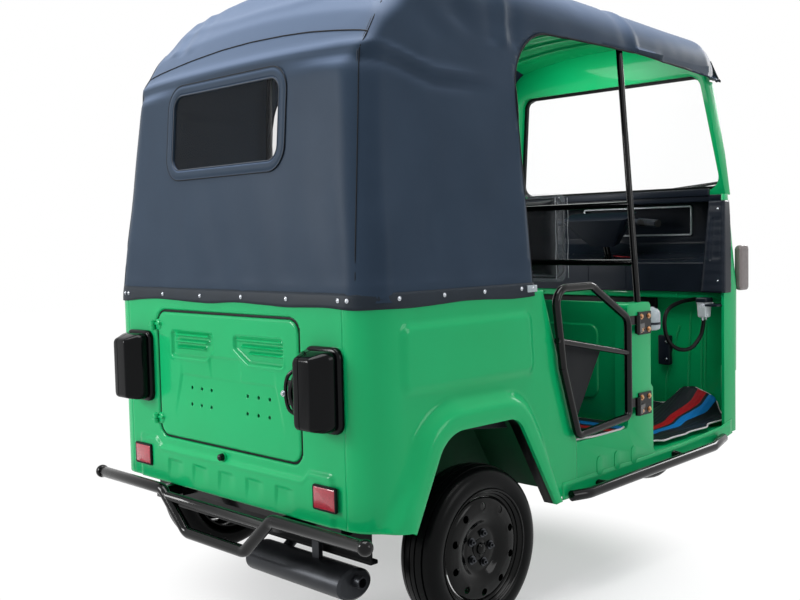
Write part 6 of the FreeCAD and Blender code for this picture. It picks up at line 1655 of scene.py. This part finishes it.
def makeFluidPot():
    bm = bmesh.new()
    ringSheet(bm, rectangleCorners(*pot["plan"], pot["corner"]), pot["rings"], lambda u, v, h: Vector((u, v, h)),
              cap=True)
    faceOutward(bm)
    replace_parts(newPiece("fluidPot", bm, "white", "chassis", 40), "brake_pot")
    bm = bmesh.new()
    ringSheet(bm, rectangleCorners(*pot["capPlan"], pot["corner"]), pot["capRings"],
              lambda u, v, h: Vector((u, v, h)), cap=True)
    addBlock(bm, *pot["bracket"], 2 * mm)
    faceOutward(bm)
    newPiece("fluidPotCap", bm, "dash", "chassis", 36)
    bm = bmesh.new()
    for y, turn in zip(pot["boltY"], (-1, 1)):
        addBolt(bm, (0.548, y, pot["bracketZ"]), (0.4, turn, 0), 6 * mm, 9 * mm)
    for y in pot["spoutY"]:
        addRod(bm, *((pot["spoutX"], y, z) for z in pot["spoutZ"]), 5 * mm, 16)
    newPiece("potFasteners", bm, "zinc", "chassis", 36)
    line = throughPoints([Vector(p) for p in pot["hose"]], 6)
    piece = tubePiece("brakeHose", line, 8 * mm, "rubber", "chassis", False, False, 3)


# The bottle beside the door post with its strap, and the relay box on the toe board
bottle = {"x": 0.596, "y": 0.140, "strapZ": (0.806, 0.814), "strapRadius": 41.5 * mm,
          "hanger": ((0.575, 0.0925, 0.795), (0.617, 0.106, 0.835)),
          "profile": ((0.0001, 0.785), (30 * mm, 0.786), (38 * mm, 0.790), (40 * mm, 0.797), (40 * mm, 0.842),
                      (38 * mm, 0.852), (30 * mm, 0.860), (20 * mm, 0.864), (17 * mm, 0.867), (0.0001, 0.868))}
relay = {"box": ((0.250, 0.762, 0.575), (0.305, 0.789, 0.698)), "boltX": 0.290, "boltZ": (0.600, 0.672)}


def makeBottleAndRelay():
    bm = bmesh.new()
    turnedPiece(bm, bottle["profile"], (0, 0, 0), 40)
    bmesh.ops.rotate(bm, verts=bm.verts[:], matrix=Matrix.Rotation(-math.pi / 2, 3, "Y"))
    bmesh.ops.translate(bm, vec=(bottle["x"], bottle["y"], 0), verts=bm.verts[:])
    faceOutward(bm)
    newPiece("washBottle", bm, "bottle", "chassis", 50)
    bm = bmesh.new()
    addRod(bm, *((bottle["x"], bottle["y"], z) for z in bottle["strapZ"]), bottle["strapRadius"], 40)
    addBlock(bm, *bottle["hanger"], 2 * mm)
    addBlock(bm, *relay["box"], 5 * mm, 3)
    newPiece("bottleStrapAndRelayBox", bm, "dash", "chassis", 36)
    bm = bmesh.new()
    for z in relay["boltZ"]:
        addBolt(bm, (relay["boltX"], relay["box"][0][1], z), (0, -1, 0), 5 * mm, 5 * mm)
    newPiece("relayBolts", bm, "zinc", "chassis", 36)


# Pressed ribs that run down the toe board, each a line of (x, z)
toeRibs = {"y": 0.786, "radius": 4.5 * mm,
           "lines": (((0.340, 0.74), (0.325, 0.695), (0.300, 0.60), (0.278, 0.521), (0.271, 0.400)),
                     ((0.392, 0.80), (0.385, 0.66), (0.373, 0.400)), ((0.443, 0.80), (0.440, 0.66), (0.437, 0.400)),
                     ((0.461, 0.80), (0.456, 0.66), (0.452, 0.400)))}


def makeToeRibs():
    bm = bmesh.new()
    for points in toeRibs["lines"]:
        for side in (-1, 1):
            line = [(side * x, toeRibs["y"], z) for x, z in points]
            for start, end in zip(line, line[1:]):
                addRod(bm, start, end, toeRibs["radius"], 12)
    newPiece("toeBoardRibs", bm, "green", "chassis", 60)


makeFluidPot()
makeBottleAndRelay()
makeToeRibs()


# Mats: ribbed rubber with a pale wandering edge. The driver's curls up against the toe board.
mats = {"thickness": 5 * mm, "wall": 4.6 * mm, "cell": 10 * mm, "columns": 108, "ripple": 2.5 * mm, "sillLap": 15 * mm,
        "sideEdge": 3.4 * mm, "frontEdge": 2.4 * mm, "used": 0.94,
        "riseBy": ((0, 0.5), (0.24, 0.35), (0.31, 0.95), (0.35, 1.0), (0.424, 0.74), (0.474, 0.26), (0.56, 0.06),
                   (0.62, 0.0)),
        "shiftBy": ((0, 0), (0.3, 0.045), (0.39, 0.072), (0.432, 0.076), (0.488, 0.044), (0.59, -0.022),
                    (0.62, -0.03)),
        "driver": {"z": 0.3622, "rear": 0.150, "front": 0.775, "curlFrom": 0.42, "rise": 0.128,
                   "stripeAxis": 0, "stripes": ((0.394, 0.424), (0.434, 0.474)),
                   "edge": ((0.150, 0.560), (0.198, 0.581), (0.222, 0.604), (0.300, 0.598), (0.369, 0.600),
                            (0.425, 0.591), (0.528, 0.592), (0.610, 0.566), (0.700, 0.570), (0.780, 0.548))},
        "passenger": {"z": 0.4702, "rear": -0.400, "front": -0.013, "stripeAxis": 1,
                      "stripes": ((-0.168, -0.132), (-0.112, -0.062)),
                      "edge": ((-0.400, 0.600), (-0.377, 0.630), (-0.250, 0.640), (-0.115, 0.636), (-0.013, 0.610))}}


# A table's value on the straight line between its two nearest rows
def between(table, value):
    for (x0, y0), (x1, y1) in zip(table, table[1:]):
        if value <= x1:
            return y0 + (y1 - y0) * (value - x0) / (x1 - x0)
    return table[-1][1]


def edgeX(edge, y):
    for (y0, x0), (y1, x1) in zip(edge, edge[1:]):
        if y <= y1:
            return x0 + (x1 - x0) * smooth(y0, y1, y)
    return edge[-1][1]


def makeMat(name, facts):
    rear, front, edge = facts["rear"], facts["front"], facts["edge"]

    def place(x, y, lift):
        p = Vector((x, y, facts["z"] + lift))
        if "curlFrom" in facts and y > facts["curlFrom"]:
            share = (y - facts["curlFrom"]) / (front - facts["curlFrom"])
            p.z += facts["rise"] * share ** 1.9 * between(mats["riseBy"], abs(x))
            p.x += math.copysign(share ** 1.5 * between(mats["shiftBy"], abs(x)), x)
        if "curlFrom" in facts:  # the outer edge lies up on the sill
            p.z += mats["sillLap"] * smooth(0.50, 0.56, abs(x))
        p.z += mats["ripple"] * max(0, noise.noise(Vector((x * 5, y * 5, 3)))) * smooth(0.35, 0.6, abs(x))
        return p

    bm = bmesh.new()
    rows = round((front - rear) / mats["cell"])
    bmesh.ops.create_grid(bm, x_segments=mats["columns"], y_segments=rows, size=0.5)
    for face in bm.faces:  # each stripe is a colour of rubber, along the mat or across it
        middle = face.calc_center_median()
        level = abs(middle.x) * 1.18 if facts["stripeAxis"] == 0 else rear + (middle.y + 0.5) * (front - rear)
        for index, (low, high) in enumerate(facts["stripes"]):
            if low < level < high:
                face.material_index = index + 1
    for vert in bm.verts:
        y = rear + (vert.co.y + 0.5) * (front - rear)
        vert.co = place(vert.co.x * 2 * edgeX(edge, y), y, mats["thickness"])
    faceOutward(bm)
    bm.faces.ensure_lookup_table()
    if bm.faces[0].normal.z < 0:
        bmesh.ops.reverse_faces(bm, faces=bm.faces[:])
    piece = newPiece(name, bm, "mat", "chassis", 60)
    for finish in ("matRed", "matBlue"):
        piece.data.materials.append(finishes[finish])
    addWall(piece, mats["wall"])
    seamLift = mats["thickness"] * 0.55
    steps = rows * 2
    ys = [rear + (front - rear) * i / steps for i in range(steps + 1)]
    lines = [("Right", mats["sideEdge"], [place(edgeX(edge, y), y, seamLift) for y in ys]),
             ("Left", mats["sideEdge"], [place(-edgeX(edge, y), y, seamLift) for y in ys]),
             ("Front", mats["frontEdge"], [place(edgeX(edge, front) * (i / 20 - 1), front, seamLift)
                                           for i in range(41)])]
    for label, radius, line in lines:
        tubePiece(name + "Edge" + label, line, radius, "matEdge", "chassis", False, False, 2)
    width = 2 * max(x for y, x in edge)
    return piece


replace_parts(makeMat("driverMat", mats["driver"]), "floor_mats")
makeMat("passengerMat", mats["passenger"])
print("cab fittings are made")


# Small things on the outside: the hinge bolts, and pale plates at the hem's ends by the door edge, a painted highlight
# on the body's top flange
def makeSmallThings():
    bm = bmesh.new()
    for side in (-1, 1):
        for z in (0.542, 0.820):
            for y in (0.022, 0.070):
                for up in (-23 * mm, 23 * mm):
                    addBolt(bm, (side * (sideX(y) + 6 * mm), y, z + up), (side, 0, 0), 6.5 * mm, 6.5 * mm)
    newPiece("hingeBolts", bm, "copper", "chassis", 36)
    # Painted highlight: pale plates on the body's top flange where it catches the light
    bm = bmesh.new()
    for side in (-1, 1):
        inner, outer = side * 0.650, side * 0.6555
        addBlock(bm, (min(inner, outer), -0.612, 0.959), (max(inner, outer), -0.566, 0.980), 2.4 * mm, 3)
    newPiece("flangeHighlightPlates", bm, "bottle", "chassis", 36)


# Black cross panel under the tail, behind the bumper, with its lower edge turned forward
tail = {"leftX": -0.47, "rightX": 0.50, "rearY": -1.128, "lowZ": 0.225, "topZ": 0.372, "boltX": (-0.30, 0.0, 0.30)}


def makeTailPanel():
    bm = bmesh.new()
    left, right, rearY, lowZ = tail["leftX"], tail["rightX"], tail["rearY"], tail["lowZ"]
    addBlock(bm, (left, rearY, lowZ + 7 * mm), (right, rearY + 10 * mm, tail["topZ"]), 4 * mm)
    addBlock(bm, (left, rearY, lowZ), (right, rearY + 30 * mm, lowZ + 13 * mm), 4 * mm)
    for x in tail["boltX"]:
        addBolt(bm, (x, rearY, 0.30), (0, -1, 0), 6 * mm, 6 * mm)
    newPiece("tailCrossPanel", bm, "frame", "chassis", 36)


makeTailPanel()


# The sill's rolled lower flange, just above the step tube
flange = {"height": 55 * mm, "stand": 1.2 * mm, "roll": 2 * mm, "wall": 3 * mm,
          "lowEdge": ((-0.447, 0.301), (-0.298, 0.300), (0.0, 0.300), (0.30, 0.304), (0.60, 0.320), (0.700, 0.338))}


def makeSillFlange():
    rearY, frontY = flange["lowEdge"][0][0], flange["lowEdge"][-1][0]
    bm = bmesh.new()
    bmesh.ops.create_grid(bm, x_segments=60, y_segments=4, size=0.5)
    for vert in bm.verts:
        y = rearY + (vert.co.x + 0.5) * (frontY - rearY)
        up = vert.co.y + 0.5
        z = between(flange["lowEdge"], y) + flange["height"] * up
        vert.co = Vector((sideX(y) + flange["stand"] + flange["roll"] * bell(up, 0, 0.3), y, z))
    addMirror(bm)
    faceOutward(bm)
    for face in bm.faces:
        if face.normal.x * face.calc_center_median().x < 0:
            face.normal_flip()
    addWall(newPiece("sillFlanges", bm, "green", "chassis", 50), flange["wall"])


makeSillFlange()
makeSmallThings()
print("small fittings are made")


# The room: a white studio that gloss surfaces also reflect, soft lamps and a pale floor
light = {"worldStrength": 0.34, "floorSize": 14, "floorGlow": 0.46, "floorWhite": 1.03,
         "shadeCentre": (0.25, -0.55, 0), "shadeFrom": 0.5, "shadeTo": 1.05}
softboxes = (("top", (0.2, -0.9, 4.4), (0.0, -0.2, 0.6), 3.0, 230),
             ("rear", (-2.6, -4.8, 2.2), (0.0, -1.2, 0.8), 1.5, 160),
             ("side", (4.8, 0.4, 2.4), (0.4, 0.0, 0.9), 2.0, 55),
             ("cab", (0.0, 0.30, 1.72), (0.0, 0.75, 1.0), 0.5, 5),
             ("front", (0.5, 3.6, 2.5), (0.1, 0.8, 1.0), 1.2, 40))  # name, place, target, size and watts


# One where the camera, a mirror or a glass looks at the surface, and nothing for its light
def seenDirectly(tree):
    path = addNode(tree, "ShaderNodeLightPath")
    seen = path.outputs["Is Camera Ray"]
    for ray in ("Is Glossy Ray", "Is Transmission Ray"):
        both = addNode(tree, "ShaderNodeMath", {"operation": "MAXIMUM"}, {}, {0: seen, 1: path.outputs[ray]})
        seen = both.outputs[0]
    return both


def makeRoom():
    world = bpy.data.worlds.new("studio")
    scene.world = world
    world.use_nodes = True
    tree = world.node_tree
    background = tree.nodes["Background"]
    background.inputs["Color"].default_value = hexToLinear("#dfe6f0")
    background.inputs["Strength"].default_value = light["worldStrength"]
    seen = seenDirectly(tree)
    white = addNode(tree, "ShaderNodeBackground", {}, {"Color": hexToLinear("#ffffff"), "Strength": 1.0})
    mix = addNode(tree, "ShaderNodeMixShader", {}, {}, {0: seen.outputs[0], 1: background.outputs[0],
                                                       2: white.outputs[0]})
    tree.links.new(mix.outputs[0], tree.nodes["World Output"].inputs["Surface"])
    for name, place, target, size, power in softboxes:
        data = bpy.data.lights.new(name + "Softbox", "AREA")
        data.shape = "SQUARE"
        data.size = size
        data.energy = power
        lamp = bpy.data.objects.new(name + "Softbox", data)
        lamp.location = place
        lamp.visible_camera = False
        lamp.rotation_euler = (Vector(target) - Vector(place)).to_track_quat("-Z", "Y").to_euler()
        scene.collection.objects.link(lamp)
    bm = bmesh.new()
    bmesh.ops.create_grid(bm, x_segments=1, y_segments=1, size=light["floorSize"])
    mesh = bpy.data.meshes.new("studioFloor")
    bm.to_mesh(mesh)
    bm.free()
    floor = bpy.data.objects.new("studioFloor", mesh)
    material, tree, shader, place = startFinish("paleFloor", "#ededed", 0.9)
    glow = addNode(tree, "ShaderNodeEmission", {}, {"Color": hexToLinear("#ffffff"), "Strength": light["floorWhite"]})
    away = addNode(tree, "ShaderNodeVectorMath", {"operation": "DISTANCE"}, {1: light["shadeCentre"]}, {0: place})
    fade = addNode(tree, "ShaderNodeMapRange", {"interpolation_type": "SMOOTHSTEP"},
                   {1: light["shadeFrom"], 2: light["shadeTo"], 3: light["floorGlow"], 4: 1.0},
                   {0: away.outputs["Value"]})
    share = addNode(tree, "ShaderNodeMath", {"operation": "MULTIPLY"}, {},
                    {0: seenDirectly(tree).outputs[0], 1: fade.outputs[0]})
    blend = addNode(tree, "ShaderNodeMixShader", {}, {}, {0: share.outputs[0], 1: shader.outputs[0],
                                                         2: glow.outputs[0]})
    tree.links.new(blend.outputs[0], tree.nodes["Material Output"].inputs["Surface"])
    floor.data.materials.append(material)
    scene.collection.objects.link(floor)


aimCamera()
makeRoom()
scene.view_settings.view_transform = "Standard"
bpy.context.view_layer.update()
